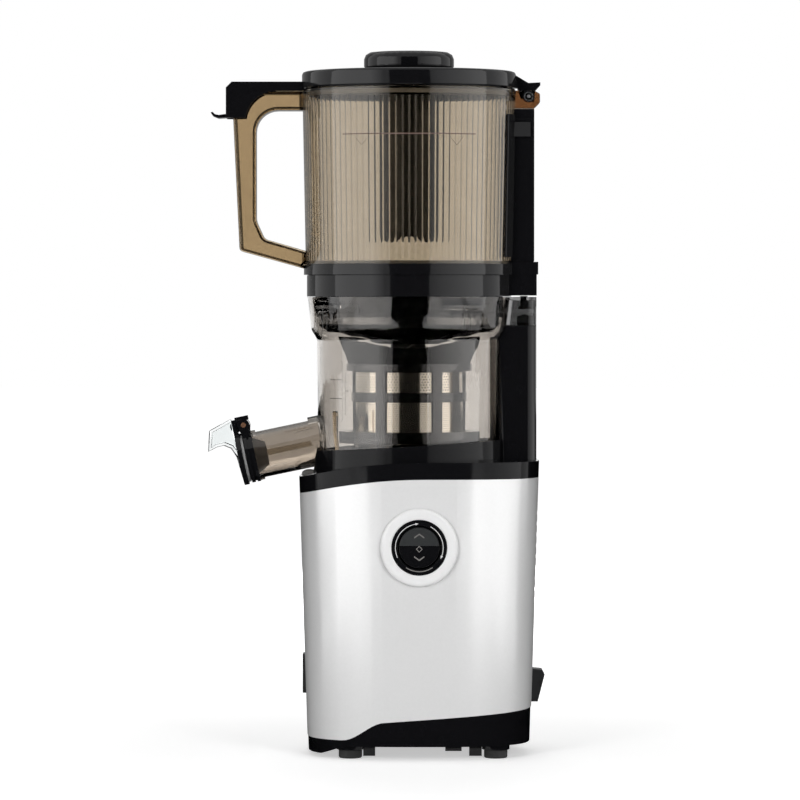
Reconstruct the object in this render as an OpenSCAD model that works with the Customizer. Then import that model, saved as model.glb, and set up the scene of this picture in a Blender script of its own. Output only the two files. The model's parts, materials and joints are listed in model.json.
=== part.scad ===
// Upright cold press juicer: a geared motor base with a rear column, a see-through
// juicing drum with a screw and a strainer, and a wide hopper with a hinged lid.
// Origin on the table under the drive axis. +Z up, spout and handle towards -X,
// column towards +X, control button towards -Y.

/* [Shell] */
// Length of the shell at its top edge
shell_len_top = 165; // [156:1:176]
// Length of the shell at its foot
shell_len_foot = 153.8; // [148:0.2:164]
// Width of the shell at its top edge
shell_wid_top = 152; // [146:1:162]
// Width of the shell at its foot
shell_wid_foot = 142; // [136:1:152]
// Distance of the shell's middle from the drive axis, towards the column
shell_shift = 6.8; // [5:0.1:8]
// Height of the shell's top edge
shell_top = 190.3; // [186:0.1:200]
// Height of the shell's lowest edge
shell_low = 13; // [12:0.5:16]
// Wall of the moulded covers
cover_wall = 2.6; // [2:0.1:3.2]
// How far the top edge falls towards the spout
deck_dip = 11; // [6:0.5:13]
// Height of the black deck band over the shell
deck_height = 11.4; // [10:0.2:13]
// Rise of the foot's wave line from the spout end to the middle
wave_rise = 12.5; // [8:0.5:16]

/* [Feet and cover] */
// Height of the cover's floor over the table
floor_lift = 10; // [8:0.5:11]
// Radius of a rubber foot
foot_r = 8; // [6:0.5:9]
// Half the distance between the feet across the width
foot_half_y = 50; // [44:1:54]
// Place of the feet at the spout end
foot_near_x = -40; // [-46:1:-34]
// Place of the feet at the column end
foot_far_x = 59; // [54:1:62]
// Radius of a mounting post
post_r = 5; // [4:0.5:6]

/* [Control] */
// Height of the control button's axis
control_z = 144.5; // [120:0.5:156]
// Outer radius of the white bezel
bezel_r = 26.4; // [24:0.1:30]
// Outer radius of the black ring
control_ring_r = 18.9; // [18:0.1:21]
// Radius of the rocker disc
rocker_r = 13.8; // [12.5:0.1:15]

/* [Column] */
// Half the column's width
column_half = 18; // [14:0.5:24]
// Height of the column's top
column_top = 313.8; // [312:0.1:313.9]
// Height where the smoked cap starts
column_split = 294; // [288:0.5:298]

/* [Drum] */
// Radius of the drum at its foot
drum_r_foot = 62.6; // [61:0.1:63]
// Radius of the drum's neck, under its shoulder
drum_r_neck = 63.8; // [63.2:0.1:64.2]
// Radius of the drum at its shoulder
drum_r_shoulder = 67.8; // [67.4:0.1:68]
// Radius of the drum's rim
drum_r_rim = 70; // [69.8:0.1:70.2]
// Wall of the drum
drum_wall = 2.4; // [2:0.1:2.6]
// Height of the drum's underside
drum_low = 198; // [197:0.1:199]
// Height of the neck's upper end
drum_neck_z = 284; // [281:0.5:286]
// Height of the shoulder
drum_shoulder_z = 293; // [290:0.5:295]
// Height of the platform that carries the strainer
platform_z = 213.2; // [212:0.1:214]
// Radius of the platform
platform_r = 38.5; // [37.5:0.1:40]
// Running gap between the drum and the base around it
drum_gap = 0.6; // [0.4:0.1:1]

/* [Spout] */
// Outer radius of the spout
spout_r = 16; // [15:0.1:17]
// Wall of the spout
spout_wall = 2.4; // [2:0.1:2.8]
// Fall of the spout below level, in degrees
spout_fall = 11.8; // [9:0.1:13]
// Height of the spout's axis at the drum's wall
spout_z = 213.5; // [213:0.1:216]
// Length of the spout out from the drum's wall
spout_len = 44; // [40:0.5:50]

/* [Strainer and screw] */
// Radius of the strainer's body
strainer_r = 39.1; // [38.6:0.1:40]
// Wall of the strainer's body
strainer_wall = 3; // [2.6:0.1:3.2]
// Windows around the strainer in each row
strainer_windows = 6; // [5:1:8]
// Height of the strainer's skirt rim
skirt_top = 285.8; // [284:0.1:287]
// Gap between the screw's flight and the strainer
flight_gap = 0.7; // [0.5:0.1:1.2]
// Height of the screw's tip
screw_top = 318; // [310:1:322]

/* [Hopper] */
// Radius of the hopper at its rim
hopper_r_rim = 73.5; // [73:0.1:74]
// Radius of the hopper at its foot
hopper_r_foot = 71.2; // [71:0.1:72]
// Wall of the hopper
hopper_wall = 2.5; // [2:0.1:3]
// Height of the hopper's rim
hopper_rim = 457; // [450:0.5:470]
// Height of the flange under the hopper
flange_top = 336.5; // [335:0.1:338]
// Thickness of the handle, front to back
handle_wid = 24; // [20:1:26]
// Distance from the drive axis to the handle's outer edge
handle_reach = 120.8; // [116:0.2:126]
// Breadth of the handle's grip
handle_grip = 15.7; // [14:0.1:18]

/* [Lid and pusher] */
// Radius of the lid
lid_r = 73.8; // [73.6:0.1:74.5]
// Thickness of the lid's rim
lid_thick = 11.5; // [10:0.5:13]
// Distance from the drive axis to the lid's hinge pin
hinge_x = 82.1; // [81.5:0.1:83]
// Radius of the hinge pin
hinge_pin_r = 2; // [1.6:0.1:2.4]
// Radius of the pusher's tube
pusher_r = 20.3; // [18:0.1:24]
// Height of the pusher's lowest point
pusher_low = 351.3; // [345:0.1:365]
// Radius of the pusher's knob
knob_r = 31; // [28:0.5:36]
// Thickness of the pusher's knob
knob_thick = 12; // [9:0.5:15]
// Gap between the pusher's tube and the lid
pusher_gap = 0.6; // [0.4:0.1:1]

/* [Drive] */
// Gear module
gear_module = 1.25; // [1.2:0.01:1.3]
// Teeth on the motor's sun gear
sun_teeth = 12; // [12:1:12]
// Teeth on each planet gear
planet_teeth = 18; // [18:1:18]
// Gap left on each tooth flank
tooth_slack = 0.07; // [0.05:0.01:0.1]
// Radius of the motor's can
motor_r = 34; // [32:0.5:36]
// Height of the motor's can
motor_len = 72; // [66:1:74]
// Radius of the motor's shaft
motor_shaft_r = 4; // [3.5:0.1:4.5]
// Radius of the output shaft
drive_r = 9; // [8.5:0.1:9.5]
// Distance across the flats of the output hexagon
hex_flats = 14; // [13:0.1:14.5]

/* [Hidden] */
$fn = 96;

black = [0.06, 0.06, 0.07];
smoke = [0.25, 0.24, 0.23, 0.6];
amber = [0.66, 0.58, 0.46, 0.5];
clear = [0.75, 0.72, 0.68, 0.4];
steel = [0.78, 0.78, 0.8];

tiny = 0.01;
far = 400;
soft_gap = 0.3;
run_gap = 0.05;
squircle_power = 3;
squircle_points = 72;

// The deck band follows the shell's top edge, which falls towards the spout.
dip_start = 10;
dip_run = dip_start + shell_len_top / 2 - shell_shift;
collar_top = shell_top + deck_height;

// Foot wave, from the spout end towards the column.
wave_x0 = -46;
wave_x1 = -16;
wave_slope = 0.072;
wave_gap = 0.4;

vent_half = 20;
vent_low = 104;
vent_pitch = 7.5;
vent_slot = 3;
vent_rows = 9;
power_z = 54.4;
power_half_y = 7;
power_half_z = 11.8;
cord_z = 46;
cord_plug_r = 8;
cord_bore_r = 4;
cord_depth = 14;

cover_inset = 0.5;
cover_floor = 3;
cover_low_left = 3;
cover_low_right = 9;
lip_rise = 4;
foot_h = 6;
skids = [[-27.2, 4.1, 1.2], [30.2, 5.6, 4.6], [45.2, 4.3, 1.2]];
skid_y = 45;
tail_low = 183;
screw_r = 1.5;
screw_len = 14;
board_y = -57;
board_half = 36;
board_thick = 1.6;
board_high = 56;

cup_floor = drum_low;
cup_plate = 6;
cup_wall = 3;
cup_in = drum_r_foot + drum_gap;
cup_out = cup_in + cup_wall;
cup_lift = 10.6;
cup_slope = 3.6;

column_wall = 2.4;
column_corner = 7;
column_depth = 17.3;
drum_r_most = max(drum_r_rim, drum_r_shoulder);
column_out = drum_r_most + drum_gap + column_depth;
column_room = column_depth - 2 * column_wall;
column_foot_z = cup_floor + 2;

plunger_x = column_out - column_depth / 2;
plunger_r = 2.6;
plunger_gap = 0.1;
plunger_travel = 3;
plunger_lip = column_room / 2 - 2.4;
plunger_lip_h = 2;
plunger_top = column_top + 0.7;
switch_half = 10;
switch_room = 1.7;
switch_high = 7;
switch_stub = 1.5;

face_y = -shell_wid_top / 2 - 1.4;
bezel_front = 2.6;
bezel_neck = control_ring_r + 2;
bezel_depth = 9;
bezel_edge = 3;
control_depth = 15;
rocker_gap = 0.9;
rocker_thick = 4;
rocker_post_r = 4;
rocker_axis_y = face_y + 7.4;
trunnion_r = 1.5;
trunnion_bite = 2.2;
switch_wide = 11;
switch_deep = 17;
switch_bore = 6.5;
terminal_len = 7;
power_depth = 20;
power_frame = 1.6;
power_pin_x = 5;
power_pin_r = 1;

spout_root_x = -drum_r_foot;
bezel_len = 6;
bezel_lip = 18;
plate_thick = 3.4;
plate_s = spout_len + bezel_len + 2.2;
plate_r = 18.6;
plug_reach = 8;
plug_tip_r = 8;
plug_r = spout_r - spout_wall - 0.8;
pin_s = spout_len + 3.8;
pin_t = spout_r + 6.4;
cap_pin_r = 1.7;

chute_half = 17;
chute_wall = 2;
chute_low = drum_low + 1.3;
chute_high = chute_low + 14;
chute_in_y = 22;
chute_out_y = shell_wid_top / 2 + 21;

strainer_in = strainer_r - strainer_wall;
strainer_low = platform_z + 0.2;
window_low = [220, 241.6];
window_high = [248.2, 262];
window_span = 49;
ring_z = 263;
ring_h = 4.9;
base_ring_r = strainer_r + 9.6;
skirt_ring_r = strainer_r + 4.5;
skirt_top_r = strainer_r + 10.4;
skirt_dip = 7;
dip_half = 14;
mesh_wall = 0.8;
mesh_in = strainer_in + 0.6;

flight_r = strainer_in - flight_gap;
screw_low = platform_z + 0.6;
core_r = 13;
core_tip_r = 8;
socket_r = 11;
socket_top = 246;

drum_floor = 3;
drum_top = column_top;
hub_out = 14;
hub_in = 11;
seal_r = 14;

ring_low = drum_top + soft_gap;
ring_split = ring_low + 14.5;
ring_out_r = drum_r_most + 0.4;
hopper_flange_r = hopper_r_foot + 1.3;
skirt_wall = 2;
skirt_low = ring_low - 14.1;
skirt_gap = 1.5;
skirt_out = min(drum_r_at(skirt_low), drum_r_rim) - drum_wall - skirt_gap;
skirt_in = skirt_out - skirt_wall;
lug_low = skirt_low + 2.4;
lug_high = lug_low + 2.6;
lug_reach = 1.3;
lug_arc = 10;
rib_low = lug_high + 1;
rib_h = 2;
rib_arc = 26;
bayonet_at = [0, 90, 180, 270];
bayonet_turn = 20;

funnel_wall = 2.6;
funnel_top = skirt_low + 26;
funnel_knee = skirt_in - 5.6;
funnel_knee_z = skirt_low - 7.5;
funnel_mouth = strainer_in - flight_gap - 14.4;
funnel_low = skirt_low - 18.5;
feed_gap = 2.6;
feed_flight_r = funnel_mouth - feed_gap;

block_reach = 0.8;
block_x = column_out + block_reach;
block_half = 17;
block_gap = 1;
block_step = 1;
block_rise = 1.4;
spine_inset = 1.9;
spine_x = column_out - spine_inset;
spine_half = 15;
spine_gap = 8.4;
ledge_low = 27;
ledge_h = 10;
ledge_half = 11;
lug_wide = 7;
lug_half = 6;
arm_half = lug_half - 0.4;
hinge_root = hopper_r_foot - hopper_wall - 4.7;
lug_tip = hinge_x + 7.9;
arm_root = lid_r - 7.8;
arm_tip = hinge_x + 8.3;
handle_root = hopper_r_foot - hopper_wall - 8.7;
tongue_root = handle_root + 2;

pin_z = hopper_rim - 5.6;
lid_low = hopper_rim + 0.5;
lid_top = lid_low + lid_thick;
tongue_top = lid_low + 4.1;
tongue_end = handle_reach + 5;
tongue_half = handle_wid / 2 + 3;
latch_z = pin_z - 10;

gear_add = 0.8 * gear_module;
gear_ded = gear_module;
pressure = 25;
ring_teeth = sun_teeth + 2 * planet_teeth;
carry_r = gear_module * (sun_teeth + planet_teeth) / 2;
motor_low = 36;
post_x = [-44, 50];
post_y = 44;
motor_top = motor_low + motor_len;
gear_low = motor_top + 4;
gear_wid = 12;
ring_out = 36;
box_r = 39.5;
carrier_low = gear_low + 17;
cover_low = gear_low + 22;
bearing_out = 16;

// ---------- shared shapes ----------

function polar(r, a) = [r * cos(a), r * sin(a)];

function arc(c, r, a0, a1, n = 8) =
  [for (i = [0:n]) c + polar(r, a0 + (a1 - a0) * i / n)];

// A rounded oval between a circle and a rectangle.
function squircle(half_len, half_wid) =
  [for (i = [0:squircle_points - 1])
    let (t = 360 * i / squircle_points, c = cos(t), s = sin(t))
    [half_len * sign(c) * pow(abs(c), 2 / squircle_power) + shell_shift,
     half_wid * sign(s) * pow(abs(s), 2 / squircle_power)]];

function body_half_len(z) = (shell_len_foot
  + (shell_len_top - shell_len_foot) * (z - shell_low) / (shell_top - shell_low)) / 2;
function body_half_wid(z) = (shell_wid_foot
  + (shell_wid_top - shell_wid_foot) * (z - shell_low) / (shell_top - shell_low)) / 2;

// The base's tapered body between two heights, set in from the outer face.
module body_block(z0, z1, inset = 0) {
  k = squircle_points;
  points = [for (z = [z0, z1])
    for (p = squircle(body_half_len(z) - inset, body_half_wid(z) - inset)) [p[0], p[1], z]];
  sides = [for (i = [0:k - 1]) [i, i + k, (i + 1) % k + k, (i + 1) % k]];
  polyhedron(points, concat([[for (i = [0:k - 1]) i]], sides,
    [[for (i = [k - 1:-1:0]) i + k]]), convexity = 4);
}

// A slab whose outline is drawn in X and Z and runs through the whole width.
module across(outline, half = far) {
  rotate([90, 0, 0]) translate([0, 0, -half]) linear_extrude(2 * half) polygon(outline);
}

module ring(outer, inner, z0, z1) {
  translate([0, 0, z0]) difference() {
    cylinder(r = outer, h = z1 - z0);
    translate([0, 0, -1]) cylinder(r = inner, h = z1 - z0 + 2);
  }
}

module turned(outline) {
  rotate_extrude($fn = 144) polygon(outline);
}

module rounded_slab(size, r) {
  linear_extrude(size[2]) hull() {
    for (x = [r, size[0] - r])
      for (y = [r, size[1] - r])
        translate([x, y]) circle(r = r, $fn = 32);
  }
}

function deck_line(x) = shell_top
  - deck_dip * pow(max(0, dip_start - x) / dip_run, 2);
function deck_edge(rise) = [for (x = [-110:10:dip_start]) [x, deck_line(x) + rise]];
function above_deck(rise) = concat([[-110, far + 200], [-110, deck_line(-110) + rise]],
  deck_edge(rise), [[160, shell_top + rise], [160, far + 200]]);
function below_deck(rise) = concat(deck_edge(rise),
  [[160, shell_top + rise], [160, -60], [-110, -60]]);

// Height of the shell's lower edge: level, then a smooth step, then a gentle slope.
function wave_line(x) = x <= wave_x0 ? shell_low
  : x >= wave_x1 ? shell_low + wave_rise + wave_slope * (x - wave_x1)
  : shell_low + wave_rise * (1 - cos(180 * (x - wave_x0) / (wave_x1 - wave_x0))) / 2;
function wave_edge(drop) = concat([[-160, shell_low - drop]],
  [for (x = [wave_x0:3:wave_x1]) [x, wave_line(x) - drop]],
  [[160, wave_line(160) - drop]]);
function below_wave(drop) = concat(wave_edge(drop), [[160, -60], [-160, -60]]);
function above_wave(drop) = concat(wave_edge(drop), [[160, far], [-160, far]]);

module at_posts(z) {
  for (x = post_x)
    for (y = [-post_y, post_y])
      translate([x, y, z]) children();
}

// Places an upright shape on the spout's sloping axis: its +Z runs out along the spout.
module on_spout(s = 0, t = 0) {
  translate([spout_root_x, 0, spout_z]) rotate([0, -90 - spout_fall, 0])
    translate([t, 0, s]) children();
}

function involute(r, base) = let (a = acos(min(1, base / r))) tan(a) * 180 / PI - a;

// Tooth outline of a gear; a negative slack draws the cutter of an internal gear.
function gear_outline(teeth, add, ded, slack, n = 4) =
  let (pitch = gear_module * teeth / 2, base = pitch * cos(pressure),
       low = max(pitch - ded, base), high = pitch + add,
       half = 90 / teeth - slack / pitch * 180 / PI + involute(pitch, base),
       flank = [for (j = [0:n]) let (r = low + (high - low) * j / n)
         [r, half - involute(r, base)]])
  [for (i = [0:teeth - 1]) let (a = 360 * i / teeth)
    each concat([polar(pitch - ded, a - flank[0][1])],
      [for (f = flank) polar(f[0], a - f[1])],
      [for (j = [n:-1:0]) polar(flank[j][0], a + flank[j][1])],
      [polar(pitch - ded, a + flank[0][1])])];

// ---------- base covers ----------

module housing() {
  color("white") difference() {
    intersection() {
      body_block(shell_low - 2, shell_top + 4);
      across(above_wave(0));
      across(below_deck(0));
    }
    body_block(shell_low - 8, shell_top + 8, cover_wall);
    control_hole();
    power_opening(0);
    cord_plug_hole();
    collar_tail();
    for (i = [0:vent_rows - 1])
      translate([shell_shift, -vent_half, vent_low + vent_pitch * i])
        cube([far, 2 * vent_half, vent_slot]);
  }
}

module control_hole() {
  translate([shell_shift, -far / 2, control_z]) rotate([-90, 0, 0])
    cylinder(r = bezel_neck, h = far / 2);
}

module power_opening(gap) {
  translate([-far / 4, -power_half_y - gap, power_z - power_half_z - gap])
    cube([far / 4, 2 * power_half_y + 2 * gap, 2 * power_half_z + 2 * gap]);
}

module cord_plug_hole() {
  translate([shell_shift, 0, cord_z]) rotate([0, 90, 0])
    cylinder(r = cord_plug_r, h = far);
}

// The collar's tail, which hangs down the shell's wall under the column.
module collar_tail() {
  translate([shell_shift + body_half_len(tail_low) - 2 * cover_wall, -column_half, tail_low])
    cube([far, 2 * column_half, shell_top - tail_low + 1]);
}

module top_collar() {
  color(black) difference() {
    union() {
      intersection() {
        body_block(tail_low - 1, collar_top);
        collar_tail();
      }
      intersection() {
        body_block(shell_top - 20, collar_top + 4);
        across(above_deck(0));
        across(below_deck(deck_height));
      }
      intersection() {
        body_block(shell_top - 24, collar_top + 4, cover_wall);
        across(above_deck(-4));
        across(below_deck(deck_height));
      }
      intersection() {
        translate([0, 0, cup_floor - cup_plate])
          cylinder(r = cup_out, h = collar_top + cup_lift + cup_slope - cup_floor + cup_plate);
        across([[-far, -far], [-far, cup_rim(-far)], [far, cup_rim(far)], [far, -far]]);
      }
    }
    difference() {
      intersection() {
        body_block(shell_top - 30, collar_top, 2 * cover_wall);
        across(below_deck(deck_height - cover_wall));
      }
      translate([0, 0, cup_floor - cup_plate]) cylinder(r = cup_out, h = far);
    }
    translate([0, 0, cup_floor]) cylinder(r = cup_in, h = far);
    translate([0, 0, cup_floor - cup_plate - 1]) cylinder(r = seal_r, h = far);
    on_spout(-20) cylinder(r = spout_r + 3.2, h = far / 2);
    translate([-chute_half - drum_gap, 0, chute_low - drum_gap])
      cube([2 * (chute_half + drum_gap), far, far]);
    column_block(column_foot_z, column_top + 10);
  }
  color(black) at_posts(gear_low) cylinder(r = post_r, h = cup_floor - cup_plate + 2 - gear_low);
}

function cup_rim(x) = collar_top + cup_lift + cup_slope * x / cup_in;

// The rear column's outline, cut to the drum's shape with a running gap.
module column_block(z0, z1, inset = 0) {
  difference() {
    intersection() {
      body_like_column(z0, z1, inset);
      translate([drum_r_foot / 2, -column_half + inset, z0])
        rounded_slab([far, 2 * (column_half - inset), z1 - z0], column_corner - inset);
    }
    turned(concat([[0, drum_low - 30]], drum_outside(drum_gap + inset),
      [[drum_r_rim + drum_gap + inset, drum_top], [drum_r_rim + drum_gap + inset, far],
       [0, far]]));
  }
}

module body_like_column(z0, z1, inset) {
  translate([0, 0, z0]) linear_extrude(z1 - z0)
    intersection() {
      polygon(squircle(column_out - shell_shift - inset, shell_wid_top / 2 - inset));
      translate([0, -far / 2]) square(far);
    }
}

module column() {
  color(black) difference() {
    column_block(column_foot_z, column_split);
    column_block(cup_floor - 10, column_split - column_wall, column_wall);
  }
}

module column_cap() {
  color(smoke) difference() {
    column_block(column_split, column_top);
    column_block(column_split - 1, column_top - column_wall, column_wall);
    translate([plunger_x, 0, column_split]) cylinder(r = plunger_r + plunger_gap, h = far);
  }
}

module base_cover() {
  color(black) difference() {
    union() {
      difference() {
        intersection() {
          body_block(0, shell_low + wave_rise + 40, cover_inset);
          across(below_wave(wave_gap));
        }
        body_block(-5, shell_low + wave_rise + 60, cover_inset + cover_wall);
        across([[-far, cover_low_left], [wave_x0 - 14, cover_low_left],
          [wave_x0 + 2, cover_low_right], [far, cover_low_right], [far, -far], [-far, -far]]);
      }
      difference() {
        intersection() {
          body_block(floor_lift, shell_low + wave_rise + 40, cover_wall);
          across(below_wave(-lip_rise));
        }
        body_block(floor_lift + cover_floor, far, 2 * cover_wall);
      }
      for (k = skids)
        for (y = [-skid_y, skid_y])
          translate([k[0] - k[1], y - k[1], k[2]])
            cube([2 * k[1], 2 * k[1], floor_lift + 1 - k[2]]);
      at_feet(foot_h) cylinder(r = foot_r + 1.4, h = floor_lift - foot_h + 1);
      for (x = [-board_half, board_half])
        translate([x - 2.4, board_y - 3, floor_lift]) cube([4.8, 8, 20]);
    }
    screw_holes();
    board_space();
    for (a = [0:30:330])
      rotate([0, 0, a]) translate([12, -2, 0]) cube([14, 4, floor_lift + cover_floor + 1]);
  }
}

module at_feet(z) {
  for (x = [foot_near_x, foot_far_x])
    for (y = [-foot_half_y, foot_half_y])
      translate([x, y, z]) children();
}

module board_space() {
  translate([-board_half, board_y, floor_lift + cover_floor])
    cube([2 * board_half, board_thick, board_high]);
}

module screw_holes() {
  at_posts(0) {
    cylinder(r = screw_r, h = floor_lift + screw_len, $fn = 32);
    cylinder(r = 2 * screw_r + 0.4, h = floor_lift + 1, $fn = 32);
  }
}

module feet() {
  color([0.12, 0.12, 0.12]) at_feet(0) {
    cylinder(r1 = foot_r - 0.8, r2 = foot_r, h = 1);
    translate([0, 0, 1]) cylinder(r = foot_r, h = foot_h - 1);
  }
}

module base_screws() {
  color(steel) at_posts(floor_lift + 1) {
    cylinder(r = screw_r, h = screw_len - 1, $fn = 32);
    translate([0, 0, -2.2]) difference() {
      cylinder(r = 2 * screw_r, h = 2.2, $fn = 32);
      translate([-0.4, -screw_r, -1]) cube([0.8, 2 * screw_r, 2]);
    }
  }
}

module spout_rest() {
  x = shell_shift - shell_len_top / 2 + 5.7;
  top = spout_z + (x - spout_root_x) * tan(spout_fall) - spout_r / cos(spout_fall);
  color([0.5, 0.5, 0.5]) difference() {
    translate([x, 0, deck_line(x) + deck_height - 1.5])
      scale([0.55, 1, 1]) cylinder(r = 13, h = 8);
    across(below_deck(deck_height));
    on_spout(-10) cylinder(r = spout_r + soft_gap, h = 60);
    translate([-far, -far, top + 1.6]) cube([2 * far, 2 * far, far]);
    cylinder(r = cup_out, h = far);
  }
}

// ---------- control, switches and board ----------

module facing_front(y) {
  translate([shell_shift, y, control_z]) rotate([-90, 0, 0]) children();
}

module control_bezel() {
  color("white") facing_front(face_y - bezel_front + 1) difference() {
    turned([[control_ring_r, 0.8], [control_ring_r + 1, 0], [bezel_r - bezel_edge, 0],
      [bezel_r - 0.9, 0.9], [bezel_r, bezel_front], [bezel_r, bezel_front + 0.4],
      [bezel_neck, bezel_front + 0.4], [bezel_neck, bezel_depth],
      [control_ring_r, bezel_depth]]);
    body_cut();
  }
}

// The shell's front face, as seen from the control's own place.
module body_cut() {
  rotate([90, 0, 0]) translate([-shell_shift, -(face_y - bezel_front + 1), -control_z])
    difference() {
      body_block(shell_low, shell_top + 4);
      control_hole();
    }
}

module control_ring() {
  hole = rocker_r + rocker_gap;
  back = control_depth - 2;
  color(black) difference() {
    facing_front(face_y - 0.6) turned([[hole, 0.8], [hole + 0.8, 0],
      [control_ring_r - 0.6, 0], [control_ring_r, 0.6], [control_ring_r, control_depth],
      [2 * rocker_post_r, control_depth], [2 * rocker_post_r, back], [hole, back]]);
    rocker_trunnion(run_gap);
  }
}

module rocker_trunnion(gap) {
  half = rocker_r + rocker_gap + trunnion_bite + gap * 6;
  translate([shell_shift - half, rocker_axis_y, control_z]) rotate([0, 90, 0])
    cylinder(r = trunnion_r + gap, h = 2 * half, $fn = 32);
}

module rocker() {
  color(black) {
    difference() {
      facing_front(face_y + 0.2) turned([[0, 0.5], [3, 0.4], [rocker_r - 1, 0],
        [rocker_r, 1], [rocker_r, rocker_thick], [0, rocker_thick]]);
      translate([shell_shift - far / 2, face_y - 1, control_z - 0.25]) cube([far, 1.6, 0.5]);
    }
    translate([shell_shift - rocker_r + 1.5, face_y + rocker_thick + 0.1,
      control_z - trunnion_r])
      cube([2 * rocker_r - 3, rocker_axis_y - face_y - rocker_thick - 0.1, 2 * trunnion_r]);
    rocker_trunnion(0);
    facing_front(face_y + rocker_thick + 0.1) cylinder(r = rocker_post_r, h = 7);
  }
}

module switch_body() {
  back = face_y - 0.6 + control_depth;
  color([0.2, 0.2, 0.22]) difference() {
    translate([shell_shift - switch_wide, back, control_z - switch_wide])
      cube([2 * switch_wide, switch_deep, 2 * switch_wide]);
    facing_front(back - 1) cylinder(r = switch_bore, h = 5);
  }
  color(steel) for (x = [-switch_bore, 0, switch_bore])
    translate([shell_shift + x - 0.4, back + switch_deep, control_z - 3])
      cube([0.8, terminal_len, 6]);
}

module circuit_board() {
  z0 = floor_lift + cover_floor;
  color([0.1, 0.35, 0.2]) translate([-board_half, board_y, z0])
    cube([2 * board_half, board_thick, board_high]);
  color([0.15, 0.15, 0.5]) for (x = [-22, -8])
    translate([x, board_y + board_thick, z0 + 34]) rotate([-90, 0, 0])
      cylinder(r = 5.5, h = 13);
  color([0.2, 0.2, 0.2]) translate([4, board_y + board_thick, z0 + 28]) cube([22, 10, 16]);
}

power_x = body_half_len(power_z);
module power_switch_body() {
  wall_x = shell_shift - power_x;
  inner_y = power_half_y - 1.4;
  inner_z = power_half_z - 1.4;
  color(black) difference() {
    union() {
      difference() {
        translate([wall_x - 1.9, -power_half_y - power_frame,
          power_z - power_half_z - power_frame])
          cube([5, 2 * (power_half_y + power_frame), 2 * (power_half_z + power_frame)]);
        body_block(power_z - 30, power_z + 30);
      }
      translate([wall_x - 1, -power_half_y, power_z - power_half_z])
        cube([power_depth, 2 * power_half_y, 2 * power_half_z]);
    }
    translate([wall_x - 3, -inner_y, power_z - inner_z])
      cube([13, 2 * inner_y, 2 * inner_z]);
    power_pin(run_gap, 2 * power_half_y - 0.8);
  }
}

module power_pin(gap, length) {
  translate([shell_shift - power_x + power_pin_x, 0, power_z]) rotate([90, 0, 0])
    cylinder(r = power_pin_r + gap, h = length, center = true, $fn = 32);
}

module power_rocker() {
  wall_x = shell_shift - power_x;
  half_z = power_half_z - 2.6;
  color([0.1, 0.1, 0.1]) {
    across([[wall_x - 1.9, power_z - half_z], [wall_x - 0.6, power_z],
      [wall_x - 1.9, power_z + half_z], [wall_x + 4, power_z + half_z - 1],
      [wall_x + 6.4, power_z], [wall_x + 4, power_z - half_z + 1]], power_half_y - 1.8);
    power_pin(0, 2 * power_half_y - 1.2);
  }
}

module cord_outlet() {
  wall_x = shell_shift + body_half_len(cord_z);
  color(black) difference() {
    union() {
      difference() {
        across([[wall_x - 4, cord_z - 11], [wall_x + 4, cord_z - 11],
          [wall_x + 8.8, cord_z + 7.6], [wall_x + 7, cord_z + 11],
          [wall_x - 4, cord_z + 12]], cord_plug_r + 1);
        body_block(cord_z - 20, cord_z + 20);
      }
      translate([wall_x - cord_depth, 0, cord_z]) rotate([0, 90, 0])
        cylinder(r = cord_plug_r, h = cord_depth + 1);
    }
    translate([wall_x - cord_depth - 1, 0, cord_z]) rotate([0, 90, 0])
      cylinder(r = cord_bore_r, h = cord_depth + far);
  }
}

module interlock_switch() {
  half = column_room / 2 - switch_room;
  color([0.15, 0.15, 0.4]) {
    translate([plunger_x - half, -switch_half, column_split])
      cube([2 * half, 2 * switch_half, switch_high]);
    translate([plunger_x - switch_stub, -switch_stub, column_split])
      cube([2 * switch_stub, 2 * switch_stub, switch_high + 1]);
  }
}

module interlock_plunger() {
  low = column_split + switch_high + 1 + plunger_travel + 0.4;
  color([0.8, 0.2, 0.15]) translate([plunger_x, 0, low]) {
    cylinder(r = plunger_r, h = plunger_top - low);
    cylinder(r = plunger_lip, h = plunger_lip_h);
  }
}

// ---------- motor and gears ----------

motor_in = motor_r - 2.4;
bearing_r = 11;
bearing_h = 6;
module motor_can() {
  color([0.6, 0.6, 0.62]) difference() {
    translate([0, 0, motor_low]) cylinder(r = motor_r, h = motor_len);
    translate([0, 0, motor_low - 1]) cylinder(r = motor_in, h = motor_len - 2);
    translate([0, 0, motor_low]) cylinder(r = bearing_r - 3, h = far);
  }
  color([0.6, 0.6, 0.62])
    ring(bearing_r + 2, bearing_r, motor_top - 3 - bearing_h, motor_top - 3);
}

magnet_in = motor_in - 5.5;
module motor_magnets() {
  color([0.2, 0.2, 0.2]) for (a = [20, 200])
    rotate([0, 0, a]) rotate_extrude(angle = 140, $fn = 96)
      translate([magnet_in, motor_low + 10]) square([motor_in - magnet_in, motor_len - 24]);
}

module motor_endcap() {
  color([0.25, 0.25, 0.27]) difference() {
    union() {
      translate([0, 0, motor_low - 6]) cylinder(r = motor_r, h = 6);
      translate([0, 0, motor_low - 1]) cylinder(r = bearing_r + 2, h = 1);
    }
    translate([0, 0, motor_low - 6 - 1]) cylinder(r = bearing_r, h = bearing_h + 1);
    translate([0, 0, motor_low - 6]) cylinder(r = bearing_r - 3, h = 20);
    for (a = [45:90:315])
      rotate([0, 0, a]) translate([22, 0, 0]) cylinder(r = 5, h = far);
  }
  color([0.6, 0.45, 0.3]) for (a = [0, 180])
    rotate([0, 0, a]) translate([commutator_r + soft_gap, -2.5, motor_low]) cube([9, 5, 4.5]);
}

commutator_r = 9;
module motor_bearings() {
  color(steel) {
    ring(bearing_r, motor_shaft_r + run_gap, motor_low - 6, motor_low);
    ring(bearing_r, motor_shaft_r + run_gap, motor_top - 3 - bearing_h, motor_top - 3);
  }
}

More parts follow.
